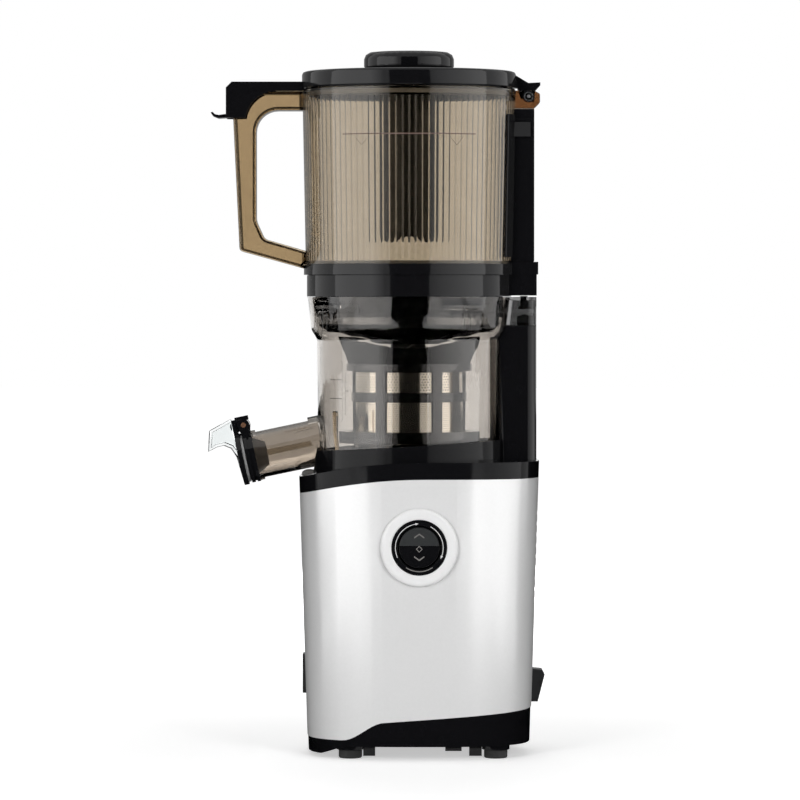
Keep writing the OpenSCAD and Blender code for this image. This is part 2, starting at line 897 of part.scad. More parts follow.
module motor_shaft() {
  color(steel) {
    translate([0, 0, motor_low - 17]) cylinder(r = motor_shaft_r, h = gear_low - motor_low + 17);
    translate([0, 0, gear_low]) linear_extrude(gear_wid + 4)
      polygon(gear_outline(sun_teeth, gear_add, gear_ded, tooth_slack));
  }
}

module armature() {
  color([0.55, 0.35, 0.2]) difference() {
    union() {
      translate([0, 0, motor_low + 12]) cylinder(r = magnet_in - 0.8, h = motor_len - 30);
      translate([0, 0, motor_low + 6]) cylinder(r1 = 14, r2 = 20, h = 6);
      translate([0, 0, motor_top - 18]) cylinder(r1 = 20, r2 = 14, h = 6);
      translate([0, 0, motor_low + 0.5]) cylinder(r = commutator_r, h = 5.5);
    }
    cylinder(r = motor_shaft_r, h = far);
    for (a = [0:45:315])
      rotate([0, 0, a]) translate([magnet_in - 5, -1, 0]) cube([far, 2, far]);
  }
}

fan_top = motor_low - 8;
module motor_fan() {
  color([0.3, 0.3, 0.32]) difference() {
    union() {
      translate([0, 0, fan_top - 8]) cylinder(r = 9, h = 8);
      translate([0, 0, fan_top - 1.6]) cylinder(r = 26, h = 1.6);
      for (a = [0:40:320])
        rotate([0, 0, a]) translate([7, -0.8, fan_top - 8]) cube([19, 1.6, 7]);
    }
    cylinder(r = motor_shaft_r, h = far);
  }
}

ear_r = 7;
module gearbox_housing() {
  color([0.35, 0.36, 0.38]) difference() {
    union() {
      translate([0, 0, motor_top]) cylinder(r = box_r, h = cover_low - motor_top);
      for (x = post_x)
        for (y = [-post_y, post_y])
          hull() {
            translate([x, y, motor_top]) cylinder(r = ear_r, h = 4, $fn = 32);
            translate([x / 2, y / 2, motor_top]) cylinder(r = ear_r, h = 4, $fn = 32);
          }
      at_posts(floor_lift + cover_floor)
        cylinder(r = post_r, h = gear_low - floor_lift - cover_floor);
    }
    translate([0, 0, gear_low]) cylinder(r = ring_out, h = far);
    translate([0, 0, motor_top - 1]) cylinder(r = bearing_r - 3, h = far);
    at_posts(0) cylinder(r = screw_r, h = floor_lift + screw_len, $fn = 32);
  }
}

module ring_gear() {
  color([0.85, 0.83, 0.75]) translate([0, 0, gear_low]) difference() {
    cylinder(r = ring_out, h = gear_wid + 4);
    translate([0, 0, -1]) linear_extrude(gear_wid + 6) rotate(180 / ring_teeth)
      polygon(gear_outline(ring_teeth, gear_ded, gear_add, -tooth_slack));
  }
}

module planet_gear(i) {
  color([0.9, 0.88, 0.8]) rotate([0, 0, 120 * i]) translate([carry_r, 0, gear_low + 2])
    difference() {
      linear_extrude(gear_wid) rotate(180 / planet_teeth)
        polygon(gear_outline(planet_teeth, gear_add, gear_ded, tooth_slack));
      translate([0, 0, -1]) cylinder(r = planet_pin_r + run_gap, h = far, $fn = 48);
    }
}

planet_pin_r = 3;
module drive_shaft() {
  color(steel) {
    translate([0, 0, carrier_low]) cylinder(r = carry_r + 5, h = 4);
    for (a = [0, 120, 240])
      rotate([0, 0, a]) translate([carry_r, 0, gear_low + 1])
        cylinder(r = planet_pin_r, h = carrier_low - gear_low, $fn = 48);
    translate([0, 0, carrier_low + 4]) cylinder(r = drive_r, h = screw_low - carrier_low - 4);
    translate([0, 0, screw_low - tiny])
      cylinder(r = hex_flats / 2 / cos(30), h = socket_top - 3 - screw_low, $fn = 6);
  }
}

module gearbox_cover() {
  color([0.4, 0.41, 0.43]) difference() {
    union() {
      translate([0, 0, cover_low]) cylinder(r = box_r, h = 4);
      translate([0, 0, cover_low]) cylinder(r = bearing_out + 4, h = 18);
    }
    translate([0, 0, cover_low - 1]) cylinder(r = drive_r + 3, h = far);
    translate([0, 0, cover_low + 5]) cylinder(r = bearing_out, h = far);
  }
}

module output_bearing() {
  color(steel) ring(bearing_out, drive_r + run_gap, cover_low + 5, cover_low + 17);
}

module shaft_seal() {
  color([0.15, 0.15, 0.15])
    ring(seal_r, drive_r + soft_gap, cup_floor - cup_plate, cup_floor);
}

// ---------- drum ----------

function drum_outside(gap = 0) = [
  [drum_r_foot + gap, drum_low],
  [drum_r_neck + gap, drum_neck_z],
  each [for (i = [1:5]) let (t = i / 6, e = t * t * (3 - 2 * t))
    [drum_r_neck + gap + (drum_r_shoulder - drum_r_neck) * e,
     drum_neck_z + (drum_shoulder_z - drum_neck_z) * t]],
  [drum_r_shoulder + gap, drum_shoulder_z]
];

function drum_r_at(z) = drum_r_shoulder
  + (drum_r_rim - drum_r_shoulder) * (z - drum_shoulder_z) / (drum_top - drum_shoulder_z);

module drum() {
  color(clear) difference() {
    union() {
      turned(concat([[0, drum_low]], drum_outside(), [[drum_r_rim, drum_top], [0, drum_top]]));
    }
    difference() {
      turned(concat([[0, drum_low + drum_floor], [drum_r_foot - drum_wall, drum_low + drum_floor]],
        [for (i = [1:len(drum_outside()) - 1]) drum_outside(-drum_wall)[i]],
        [[drum_r_rim - drum_wall, drum_top + 1], [0, drum_top + 1]]));
      difference() {
        translate([0, 0, drum_low]) cylinder(r = platform_r, h = platform_z - drum_low);
        translate([0, 0, drum_low]) cylinder(r = platform_r - drum_wall,
          h = platform_z - drum_low - 2.4);
      }
      translate([0, 0, drum_low]) cylinder(r = hub_out, h = platform_z - drum_low);
      bayonet_ribs();
    }
    cylinder(r = hub_in, h = far);
    on_spout(-12) cylinder(r = spout_r - spout_wall, h = 40);
    chute_block();
    translate([-chute_half + chute_wall + 2, chute_in_y + chute_wall, platform_z - 10])
      cube([2 * (chute_half - chute_wall - 2), 10, 20]);
  }
}

module bayonet_ribs() {
  for (a = bayonet_at)
    rotate([0, 0, a + bayonet_turn]) rotate_extrude(angle = rib_arc, $fn = 144)
      translate([skirt_out + 0.4, rib_low]) square([drum_r_rim - skirt_out, rib_h]);
}

module chute_block() {
  translate([-chute_half, chute_in_y, chute_low])
    cube([2 * chute_half, chute_out_y - chute_in_y, chute_high - chute_low]);
}

module pulp_chute() {
  w = chute_wall;
  color(clear) difference() {
    chute_block();
    translate([-chute_half + w, chute_in_y + w, chute_low + w])
      cube([2 * (chute_half - w), chute_out_y - chute_in_y - 2 * w, chute_high - chute_low - 2 * w]);
    translate([-chute_half + w + 2, chute_in_y + w, chute_low + w])
      cube([2 * (chute_half - w - 2), 10, far]);
    translate([-chute_half + w, shell_wid_top / 2 + 5, chute_low - 1])
      cube([2 * (chute_half - w), chute_out_y - shell_wid_top / 2 - 5 - w, w + 2]);
  }
}

module spout() {
  color(amber) difference() {
    union() {
      on_spout(-14) cylinder(r = spout_r, h = spout_len + 14);
      on_spout(-6) cylinder(r = spout_r + 2.4, h = 10);
      on_spout(spout_len - 3) cylinder(r = spout_r + 1.4, h = 3);
    }
    on_spout(-40) cylinder(r = spout_r - spout_wall, h = 200);
    translate([0, 0, drum_low - 40]) turned([[0, 0], [drum_r_foot, 40],
      [drum_r_neck, drum_neck_z - drum_low + 40], [0, 200]]);
  }
}

module spout_bezel() {
  color(black) difference() {
    union() {
      on_spout(spout_len) difference() {
        cylinder(r = bezel_lip, h = bezel_len);
        translate([0, 0, 2.2]) rotate_extrude()
          translate([bezel_lip - 1, 0]) square([3, 1.6]);
      }
      for (y = [-12, 8])
        on_spout(pin_s, pin_t) translate([0, y, 0]) rotate([-90, 0, 0]) hull() {
          cylinder(r = 4.2, h = 4, $fn = 32);
          translate([-9, 0, 0]) cylinder(r = 2, h = 4, $fn = 32);
        }
    }
    on_spout(spout_len - 1) cylinder(r = spout_r - spout_wall, h = bezel_len + 2);
    on_spout(pin_s, pin_t) rotate([90, 0, 0])
      cylinder(r = cap_pin_r, h = 60, center = true, $fn = 48);
  }
}

module cap_pin() {
  color([0.45, 0.32, 0.25]) on_spout(pin_s, pin_t) rotate([90, 0, 0])
    cylinder(r = cap_pin_r, h = 24, center = true, $fn = 48);
}

module cap_plate() {
  color(black) difference() {
    union() {
      on_spout(plate_s) cylinder(r = plate_r, h = plate_thick);
      on_spout(plate_s, 0) translate([0, -9, 0]) cube([pin_t + 4.6, 18, plate_thick]);
      on_spout(pin_s, pin_t) translate([0, -7.6, 0]) rotate([-90, 0, 0]) hull() {
        cylinder(r = 4, h = 15.2, $fn = 32);
        translate([0, -(plate_s - pin_s + 1), 0]) cylinder(r = 4, h = 15.2, $fn = 32);
      }
      on_spout(pin_s - 4.2, pin_t + 3.1) translate([0, -7, 0])
        cube([3, 14, plate_s + 1 - pin_s + 4.2]);
    }
    on_spout(pin_s, pin_t) rotate([90, 0, 0])
      cylinder(r = cap_pin_r + run_gap, h = 60, center = true, $fn = 48);
  }
}

module cap_seal() {
  color([0.2, 0.2, 0.2]) on_spout(0) {
    translate([0, 0, plate_s - 1.6]) cylinder(r = bezel_lip - 1, h = 1.6);
    translate([0, 0, spout_len - plug_reach]) cylinder(r1 = plug_tip_r, r2 = plug_r,
      h = plug_reach + 0.4);
    translate([0, 0, spout_len]) cylinder(r = plug_r, h = plate_s - 1.6 - spout_len);
  }
}

tab_half = 12;
module cap_handle() {
  tip = 138.4;
  color([0.9, 0.95, 0.97, 0.3]) difference() {
    intersection() {
      across([[-tip, 207.1], [-tip + 0.9, 221.7], [-121.8, 230.4], [-100, 233],
        [-100, 184], [-113.5, 186], [-118.7, 203.7], [-122.5, 209.4], [-127.4, 211.4],
        [-132, 210.4]], tab_half);
      on_spout(plate_s + plate_thick, -30) translate([0, -40, 0]) cube([80, 80, 80]);
    }
    across([[-tip + 1.8, 209.4], [-tip + 2.6, 220.4], [-121.8, 228.4], [-100, 231],
      [-100, 180], [-113, 186], [-117, 204.7], [-121.6, 211.2], [-127.4, 213.4],
      [-132.6, 212.2]], tab_half - 2);
  }
}

// ---------- strainer and screw ----------

module strainer_frame() {
  color([0.42, 0.43, 0.45]) difference() {
    turned([[strainer_in, strainer_low], [base_ring_r, strainer_low],
      [base_ring_r, window_low[0] + 1.3], [strainer_r, window_low[0] + 1.3],
      [strainer_r, window_low[1] + 0.4], [strainer_r + 0.8, window_low[1] + 0.6],
      [strainer_r + 0.8, window_high[0] - 0.2], [strainer_r, window_high[0]],
      [strainer_r, ring_z], [skirt_ring_r, ring_z], [skirt_ring_r, ring_z + ring_h],
      [skirt_ring_r - 1.6, ring_z + ring_h], [skirt_top_r, skirt_top],
      [skirt_top_r - 2, skirt_top], [strainer_in, ring_z + 1]]);
    for (i = [0:strainer_windows - 1], w = [window_low, window_high])
      rotate([0, 0, 270 - window_span / 2 + 360 / strainer_windows * i])
        rotate_extrude(angle = window_span, $fn = 144)
          translate([strainer_in - 1, w[0]]) square([strainer_wall + 4, w[1] - w[0]]);
    across([[-skirt_top_r, skirt_top + 0.2], [-dip_half, skirt_top - skirt_dip],
      [dip_half, skirt_top - skirt_dip], [skirt_top_r, skirt_top + 0.2],
      [skirt_top_r, skirt_top + 9], [-skirt_top_r, skirt_top + 9]]);
  }
}

module strainer_mesh() {
  color(steel)
    for (i = [0:strainer_windows - 1], w = [window_low, window_high])
      rotate([0, 0, 270 - window_span / 2 + 360 / strainer_windows * i])
        rotate_extrude(angle = window_span, $fn = 144)
          translate([mesh_in, w[0]]) square([mesh_wall, w[1] - w[0]]);
}

module screw() {
  waist = screw_low + 51;
  color([0.16, 0.16, 0.17]) difference() {
    union() {
      translate([0, 0, screw_low])
        cylinder(r1 = flight_r - 11.4, r2 = core_r, h = waist + 1 - screw_low, $fn = 64);
      translate([0, 0, waist])
        cylinder(r1 = core_r + 0.4, r2 = core_tip_r, h = screw_top - waist, $fn = 64);
      translate([0, 0, screw_low + 2.4])
        linear_extrude(46, twist = -400, slices = 50, $fn = 20) flight(flight_r, 6);
      translate([0, 0, screw_low + 48])
        linear_extrude(screw_top - screw_low - 52, twist = -300, slices = 38, $fn = 20)
          flight(feed_flight_r, 5);
    }
    translate([0, 0, screw_low - 1]) cylinder(r = socket_r, h = socket_top - screw_low + 1);
  }
}

module flight(r, thick) {
  intersection() {
    circle(r = r, $fn = 48);
    square([3 * r, thick], center = true);
  }
}

module screw_socket() {
  color(steel) difference() {
    translate([0, 0, screw_low]) cylinder(r = socket_r, h = socket_top - screw_low - 0.1);
    translate([0, 0, screw_low - 1])
      cylinder(r = (hex_flats / 2 + 0.15) / cos(30), h = socket_top - screw_low - 1, $fn = 6);
  }
}

module drum_seal() {
  color([0.15, 0.15, 0.15]) ring(hub_in, drive_r + soft_gap, drum_low + 9, platform_z - 1);
}

// ---------- hopper ----------

module hopper_bowl() {
  color(amber) {
    turned([[hopper_r_foot - hopper_wall, flange_top], [hopper_r_foot, flange_top],
      [hopper_r_rim, hopper_rim], [hopper_r_rim - hopper_wall, hopper_rim]]);
    difference() {
      for (y = [-lug_half - lug_wide, lug_half])
        translate([0, y, 0]) across_short([[hinge_root, pin_z - 8], [lug_tip - 4, pin_z - 8],
          [lug_tip, pin_z - 4], [lug_tip, pin_z + 2],
          [lug_tip - 4, pin_z + 4.2], [hinge_root, pin_z + 4.2]], lug_wide);
      turned([[0, flange_top - 1], [hopper_inner(flange_top - 1), flange_top - 1],
        [hopper_inner(hopper_rim + 1), hopper_rim + 1], [0, hopper_rim + 1]]);
      translate([hinge_x, 0, pin_z]) rotate([90, 0, 0])
        cylinder(r = hinge_pin_r, h = 60, center = true, $fn = 48);
    }
  }
}

function hopper_outer(z) = hopper_r_foot
  + (hopper_r_rim - hopper_r_foot) * (z - flange_top) / (hopper_rim - flange_top);
function hopper_inner(z) = hopper_outer(z) - hopper_wall;

module across_short(outline, wide) {
  translate([0, wide, 0]) rotate([90, 0, 0]) linear_extrude(wide) polygon(outline);
}

module hopper_cone(gap) {
  turned([[0, flange_top - 5], [hopper_outer(flange_top - 5) + gap, flange_top - 5],
    [hopper_outer(hopper_rim + 5) + gap, hopper_rim + 5], [0, hopper_rim + 5]]);
}

module hopper_handle() {
  top = hopper_rim - 1.4;
  corner = 20;
  grip_in = handle_reach - handle_grip;
  low = flange_top + 8.3;
  color(amber) difference() {
    across(concat(
      [[-handle_root, top]],
      arc([-handle_reach + corner, top - corner], corner, 90, 180),
      arc([-handle_reach + 7.2, low + 3], 3, 180, 255, 3),
      [[-handle_root - 12, flange_top - 3.3], [-handle_root, flange_top - 3.3 - 3.2]]), handle_wid / 2);
    across(concat(
      [[-handle_root, top - 13.5]],
      arc([-grip_in + 15, top - 28.5], 15, 90, 180),
      [[-grip_in, low + 21.4]],
      [[-grip_in + 5.6, low + 9], [-handle_root, low + 9 - 11.5]]));
    hopper_cone(0);
    translate([-far, -far, flange_top - far - 4]) cube([2 * far, 2 * far, far]);
    translate([-hopper_flange_r, -far, 0]) cube([far, 2 * far, flange_top]);
  }
}

module hopper_ring() {
  color(black) difference() {
    union() {
      turned([[skirt_in, skirt_low], [skirt_out, skirt_low], [skirt_out, ring_low],
        [ring_out_r, ring_low], [ring_out_r, ring_split],
        [hopper_flange_r, ring_split + 0.4], [hopper_flange_r, flange_top],
        [skirt_in, flange_top]]);
      for (a = bayonet_at)
        rotate([0, 0, a + bayonet_turn + (rib_arc - 2 * lug_arc)])
          rotate_extrude(angle = lug_arc, $fn = 144)
            translate([skirt_in + 1, lug_low])
              square([skirt_wall + lug_reach - 1, lug_high - lug_low]);
      translate([skirt_in + 1.4, -block_half, ring_split + 0.7])
        cube([block_x - skirt_in - 1.4, 2 * block_half,
          flange_top + block_rise - ring_split - 0.7]);
      translate([skirt_in + 1.4, block_step - block_half, column_top + block_gap])
        cube([block_x - skirt_in - 1.4 - block_step, 2 * (block_half - block_step),
          ring_split - column_top]);
    }
    translate([0, 0, skirt_low - 10]) cylinder(r = skirt_in, h = far);
    hopper_seat();
  }
}

module hopper_seat() {
  translate([0, 0, flange_top]) cylinder(r = hopper_r_foot, h = 10);
}

module hopper_spine() {
  low = flange_top + block_rise;
  color(black) difference() {
    translate([skirt_in, -spine_half, low])
      cube([spine_x - skirt_in, 2 * spine_half, pin_z - spine_gap - low]);
    hopper_cone(0);
    translate([spine_x - 3, -ledge_half, pin_z - ledge_low])
      cube([10, 2 * ledge_half, ledge_h]);
  }
}

module feed_funnel() {
  w = funnel_wall;
  color(black) turned([[skirt_in, funnel_top], [skirt_in, skirt_low],
    [funnel_knee, funnel_knee_z], [funnel_mouth, funnel_low],
    [funnel_mouth, funnel_low + w + 0.1], [funnel_knee - 1, funnel_knee_z + w + 0.4],
    [skirt_in - w, skirt_low + 2], [skirt_in - w, funnel_top]]);
}

module hopper_seal() {
  color([0.3, 0.3, 0.3])
    ring(hopper_inner(flange_top), hopper_inner(flange_top) - 3, flange_top, flange_top + 2);
}

module hinge_pin() {
  color(steel) translate([hinge_x, 0, pin_z]) rotate([90, 0, 0]) {
    cylinder(r = hinge_pin_r, h = 2 * (lug_half + lug_wide), center = true, $fn = 48);
    translate([0, 0, lug_half + lug_wide]) cylinder(r = hinge_pin_r + 1.4, h = 1.6, $fn = 48);
  }
}

// ---------- lid, latch and pusher ----------

lid_hole = pusher_r + pusher_gap;
tongue_wall = 2;
module lid() {
  r = lid_r;
  color(black) difference() {
    union() {
      turned([[lid_hole, lid_low], [r - 0.6, lid_low], [r, lid_low + 0.6],
        [r, lid_top - 2.4], [r - 0.8, lid_top - 0.8], [r - 2.4, lid_top - 0.2],
        [40, lid_top + 0.9], [lid_hole, lid_top + 0.9]]);
      ring(hopper_inner(hopper_rim - 6) - 3, hopper_inner(hopper_rim - 6) - 6,
        hopper_rim - 6, lid_low + 1);
      difference() {
        across(tongue_outline(0), tongue_half);
        across(tongue_outline(tongue_wall), tongue_half - 2.6);
        translate([0, 0, lid_low - far])
          cylinder(r = hopper_outer(hopper_rim) + soft_gap, h = far);
      }
      for (y = [latch_half + 0.3, -latch_half - 3.3])
        translate([-tongue_end + 1, y, lid_low - 20.4]) cube([3.6, 3, 22]);
      translate([0, -arm_half, 0]) across_short([[arm_root, lid_top - 3], [arm_root, lid_low],
        [lid_r + 0.8, lid_low], [hinge_x - 5, pin_z - 1], [hinge_x + 4, pin_z - 3.4],
        [hinge_x + 4.6, pin_z + 4], [arm_tip, lid_low + 2], [arm_tip, lid_low + 4],
        [hinge_x, lid_low + 3.6], [lid_r + 0.2, lid_top - 3]], 2 * arm_half);
    }
    translate([hinge_x, 0, pin_z]) rotate([90, 0, 0])
      cylinder(r = hinge_pin_r + run_gap, h = 60, center = true, $fn = 48);
    translate([-tongue_end - 1, -latch_half - 0.3, lid_low - far])
      cube([4.6, 2 * latch_half + 0.6, far - 4]);
    latch_trunnion(run_gap);
  }
}

// The tongue over the handle, drawn in X and Z, set in by its wall.
function tongue_outline(inset) = let (e = tongue_end - inset, t = tongue_top - inset,
    b = lid_low - 20.7 - 2 * inset, r = 20)
  concat([[-tongue_root, t], [-e + 4, t], [-e, t - 4], [-e, b]],
    inset > 0 ? [[-tongue_root, b]] : concat([[-handle_reach + 9, b]],
      [for (a = [0:10:90]) [-handle_reach + 9 + r * sin(a), b + 18.8 * (1 - cos(a))]],
      [[-tongue_root, b + 18.8]]));

latch_half = 8.5;
latch_x = -tongue_end + 1.6;
module latch_trunnion(gap) {
  translate([latch_x, 0, latch_z]) rotate([90, 0, 0])
    cylinder(r = 1.2 + gap, h = 2 * latch_half + 4 + 4 * gap, center = true, $fn = 32);
}

module latch_lever() {
  color(black) {
    translate([0, -latch_half, 0]) across_short([
      [latch_x - 1.2, latch_z - 4.2], [latch_x + 1.2, latch_z - 4.2],
      [latch_x + 1.2, latch_z + 5.6], [latch_x + 2.9, latch_z + 7.4],
      [latch_x + 2.9, latch_z + 9], [latch_x - 1.2, latch_z + 9]], 2 * latch_half);
    translate([0, -latch_half, 0]) across_short([
      [latch_x - 0.8, latch_z - 4.2], [latch_x - 7, latch_z - 4.6],
      [latch_x - 10.6, latch_z - 3.2], [latch_x - 12.2, latch_z - 0.8],
      [latch_x - 11, latch_z - 0.2], [latch_x - 9.4, latch_z - 1.8],
      [latch_x - 6.8, latch_z - 2.4], [latch_x - 0.8, latch_z - 1.6]], 2 * latch_half);
    latch_trunnion(0);
  }
}

module lid_gasket() {
  color([0.4, 0.4, 0.4])
    ring(hopper_inner(hopper_rim - 6) - 1.6, hopper_inner(hopper_rim - 6) - 3,
      hopper_rim - 5, hopper_rim - 2);
}

knob_low = lid_top + 1.4;
module pusher_knob() {
  color(black) turned([[0, knob_low], [knob_r - 1.6, knob_low], [knob_r, knob_low + 2],
    [knob_r, knob_low + knob_thick - 5], [knob_r - 1.2, knob_low + knob_thick - 2],
    [knob_r - 4, knob_low + knob_thick - 0.3], [knob_r - 7, knob_low + knob_thick],
    [0, knob_low + knob_thick]]);
}

module pusher_tube() {
  floor_z = pusher_low + 9;
  color(black) difference() {
    translate([0, 0, pusher_low]) cylinder(r = pusher_r, h = knob_low - pusher_low);
    translate([0, 0, floor_z]) cylinder(r = pusher_r - 2.4, h = far);
    across(concat([[-30, pusher_low - 1], [-30, pusher_low + 8], [-pusher_r, pusher_low + 5.7]],
      [for (x = [-18:3:18]) [x, pusher_low + 2.3 * (1 + cos(x * 360 / 26)) * 0.98]],
      [[pusher_r, pusher_low + 5.7], [30, pusher_low + 8], [30, pusher_low - 1]]));
  }
}

// ---------- nodes ----------

housing();
top_collar();
column();
column_cap();
base_cover();
feet();
base_screws();
control_bezel();
control_ring();
rocker();
switch_body();
circuit_board();
spout_rest();
motor_can();
motor_magnets();
motor_endcap();
motor_bearings();
gearbox_housing();
ring_gear();
gearbox_cover();
output_bearing();
shaft_seal();
interlock_switch();
interlock_plunger();
power_switch_body();
power_rocker();
cord_outlet();
motor_shaft();
armature();
motor_fan();
drive_shaft();
planet_gear(0);  // planet_gear_1
planet_gear(1);  // planet_gear_2
planet_gear(2);  // planet_gear_3
drum();
spout();
spout_bezel();
pulp_chute();
drum_seal();
strainer_frame();
strainer_mesh();
cap_pin();
cap_plate();
cap_seal();
cap_handle();
screw();
screw_socket();
hopper_bowl();
hopper_handle();
hopper_ring();
hopper_spine();
feed_funnel();
hopper_seal();
hinge_pin();
lid();
lid_gasket();
latch_lever();
pusher_knob();
pusher_tube();
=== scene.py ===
import json
import math

import bmesh
import bpy
from mathutils import Matrix, Vector


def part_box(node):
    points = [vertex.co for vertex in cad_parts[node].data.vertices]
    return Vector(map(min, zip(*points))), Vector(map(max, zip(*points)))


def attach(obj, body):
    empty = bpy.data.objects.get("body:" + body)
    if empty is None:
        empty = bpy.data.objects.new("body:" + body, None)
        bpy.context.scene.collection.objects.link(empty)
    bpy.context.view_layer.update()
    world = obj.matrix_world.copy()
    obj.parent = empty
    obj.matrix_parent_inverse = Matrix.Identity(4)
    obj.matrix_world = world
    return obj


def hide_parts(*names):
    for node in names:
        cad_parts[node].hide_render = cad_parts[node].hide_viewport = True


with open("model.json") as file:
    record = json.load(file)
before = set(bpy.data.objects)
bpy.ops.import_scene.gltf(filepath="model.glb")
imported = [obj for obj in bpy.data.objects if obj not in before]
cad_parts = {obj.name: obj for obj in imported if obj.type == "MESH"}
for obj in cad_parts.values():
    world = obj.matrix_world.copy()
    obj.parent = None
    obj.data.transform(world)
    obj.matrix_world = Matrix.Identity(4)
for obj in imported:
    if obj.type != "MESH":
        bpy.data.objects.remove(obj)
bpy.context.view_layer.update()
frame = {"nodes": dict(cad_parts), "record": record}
bpy.context.scene.view_settings.view_transform = "Standard"

# Shapes are drawn in millimetres and stood up in metres. The drive axis rises at X = 0,
# Y = 0. The control looks to -Y, spout and handle to -X, and the column stands at +X.
MM = 0.001
UP = (0, 0, 1)
SEAM_GAP = 1e-6                     # points nearer than this at a lathe's seam are one
CAD_GAP = 2e-6                      # the same for a CAD node's loose triangles
CUT_SNAP = 1e-7                     # points nearer than this to a cut lie on it
FLAT_ANGLE = math.radians(0.8)      # CAD faces that meet at less than this are one
EASED_ANGLE = math.radians(30)      # edges sharper than this are eased
SHARP_ANGLE = math.radians(32)      # edges sharper than this are shaded as edges
ROUNDED_ANGLE = math.radians(40)    # edges sharper than this are rounded when dressed
WHITE = (1, 1, 1, 1)

BODY = {node: body for body, nodes in frame["record"]["behaviour"]["bodies"].items()
        for node in nodes}
SLOT = {row["node"]: row["material_slot"] for row in frame["record"]["subparts"]}


# ---------------------------------------------------------------- small tools

def as_mesh(bm, name="part"):
    mesh = bpy.data.meshes.new(name)
    bm.to_mesh(mesh)
    bm.free()
    return mesh


def in_scene(name, data):
    obj = bpy.data.objects.new(name, data)
    bpy.context.scene.collection.objects.link(obj)
    return obj


def aimed(place, target):
    """The turn that points an object's front from its place to a target."""
    return (Vector(target) - Vector(place)).to_track_quat("-Z", "Y")


def empty_tree(owner):
    """The cleared node tree of a material or a world."""
    owner.use_nodes = True
    owner.node_tree.nodes.clear()
    return owner.node_tree


def feed(tree, socket, value):
    """Gives a socket another node's result, or a plain number or colour."""
    if isinstance(value, bpy.types.NodeSocket):
        tree.links.new(value, socket)
    else:
        socket.default_value = value


def maths(tree, operation, *values):
    node = tree.nodes.new("ShaderNodeMath")
    node.operation = operation
    for socket, value in zip(node.inputs, values):
        feed(tree, socket, value)
    return node.outputs[0]


def graded(tree, value, start, end, low=0.0, high=1.0):
    """Maps a value from one range to another, and holds it at the ends."""
    node = tree.nodes.new("ShaderNodeMapRange")
    node.inputs["From Min"].default_value = start
    node.inputs["From Max"].default_value = end
    node.inputs["To Min"].default_value = low
    node.inputs["To Max"].default_value = high
    tree.links.new(value, node.inputs["Value"])
    return node.outputs["Result"]


def tinted(tree, factor, first, second):
    """A colour between two, by a factor."""
    mix = tree.nodes.new("ShaderNodeMix")
    mix.data_type = "RGBA"
    for name, value in (("Factor", factor), ("A", first), ("B", second)):
        feed(tree, mix.inputs[name], value)
    return mix.outputs["Result"]


def own_place(tree):
    """The point of the surface in the piece's own coordinates."""
    return tree.nodes.new("ShaderNodeTexCoord").outputs["Object"]


def split_place(tree):
    node = tree.nodes.new("ShaderNodeSeparateXYZ")
    tree.links.new(own_place(tree), node.inputs[0])
    return node.outputs


def white_glow(tree, strength):
    node = tree.nodes.new("ShaderNodeEmission")
    node.inputs["Color"].default_value = WHITE
    feed(tree, node.inputs["Strength"], strength)
    return node.outputs[0]


def seen(tree):
    """One where the eye looks, also through glass or in a mirror, and none where only
    soft light is gathered."""
    rays = tree.nodes.new("ShaderNodeLightPath").outputs
    direct = maths(tree, "MAXIMUM", rays["Is Camera Ray"], rays["Is Transmission Ray"])
    return maths(tree, "MAXIMUM", direct, rays["Is Glossy Ray"])


# ---------------------------------------------------------------- camera and stage

EYE = (-0.0062, -3.4, 0.3117)
LOOKED_AT = (-0.0062, 0, 0.2427)
LENS = 221.7
LIT_POINT = (0, 0, 0.2)
SOFT_LIGHT = 0.07             # the world's share in the light on the object
FLOOR_SIZE = (28, 28)
FLOOR_COLOR = (0.86, 0.86, 0.86, 1)
SWEEP_ENDS = (0.15, 1.2)      # the floor's glow grows between these distances


def make_camera():
    data = bpy.data.cameras.new("camera")
    data.lens = LENS
    data.sensor_width = 36
    data.clip_end = 20
    camera = in_scene("camera", data)
    camera.location = EYE
    camera.rotation_euler = aimed(EYE, LOOKED_AT).to_euler()
    bpy.context.scene.camera = camera


def make_world():
    world = bpy.data.worlds.new("studio")
    bpy.context.scene.world = world
    tree = empty_tree(world)
    sky = tree.nodes.new("ShaderNodeBackground")
    sky.inputs["Color"].default_value = WHITE
    feed(tree, sky.inputs["Strength"], graded(tree, seen(tree), 0, 1, SOFT_LIGHT, 1))
    out = tree.nodes.new("ShaderNodeOutputWorld")
    tree.links.new(sky.outputs[0], out.inputs["Surface"])


def softbox(name, place, size, power):
    """A soft lamp that mirrors and glass do not show."""
    data = bpy.data.lights.new(name, "AREA")
    data.shape = "RECTANGLE"
    data.size, data.size_y = size
    data.energy = power
    light = in_scene(name, data)
    light.location = place
    light.rotation_euler = aimed(place, LIT_POINT).to_euler()
    light.visible_glossy = False
    light.visible_transmission = False


def stage_sheet(name, size, matrix=Matrix()):
    """A flat sheet of the stage, with the empty tree of its material."""
    bm = bmesh.new()
    bmesh.ops.create_grid(bm, x_segments=1, y_segments=1, size=0.5)
    bmesh.ops.scale(bm, vec=(*size, 1), verts=bm.verts)
    bmesh.ops.transform(bm, verts=bm.verts, matrix=matrix)
    sheet = in_scene(name, as_mesh(bm, name))
    material = bpy.data.materials.new(name)
    sheet.data.materials.append(material)
    return sheet, empty_tree(material)


def finish_sheet(tree, shader):
    out = tree.nodes.new("ShaderNodeOutputMaterial")
    tree.links.new(shader, out.inputs["Surface"])


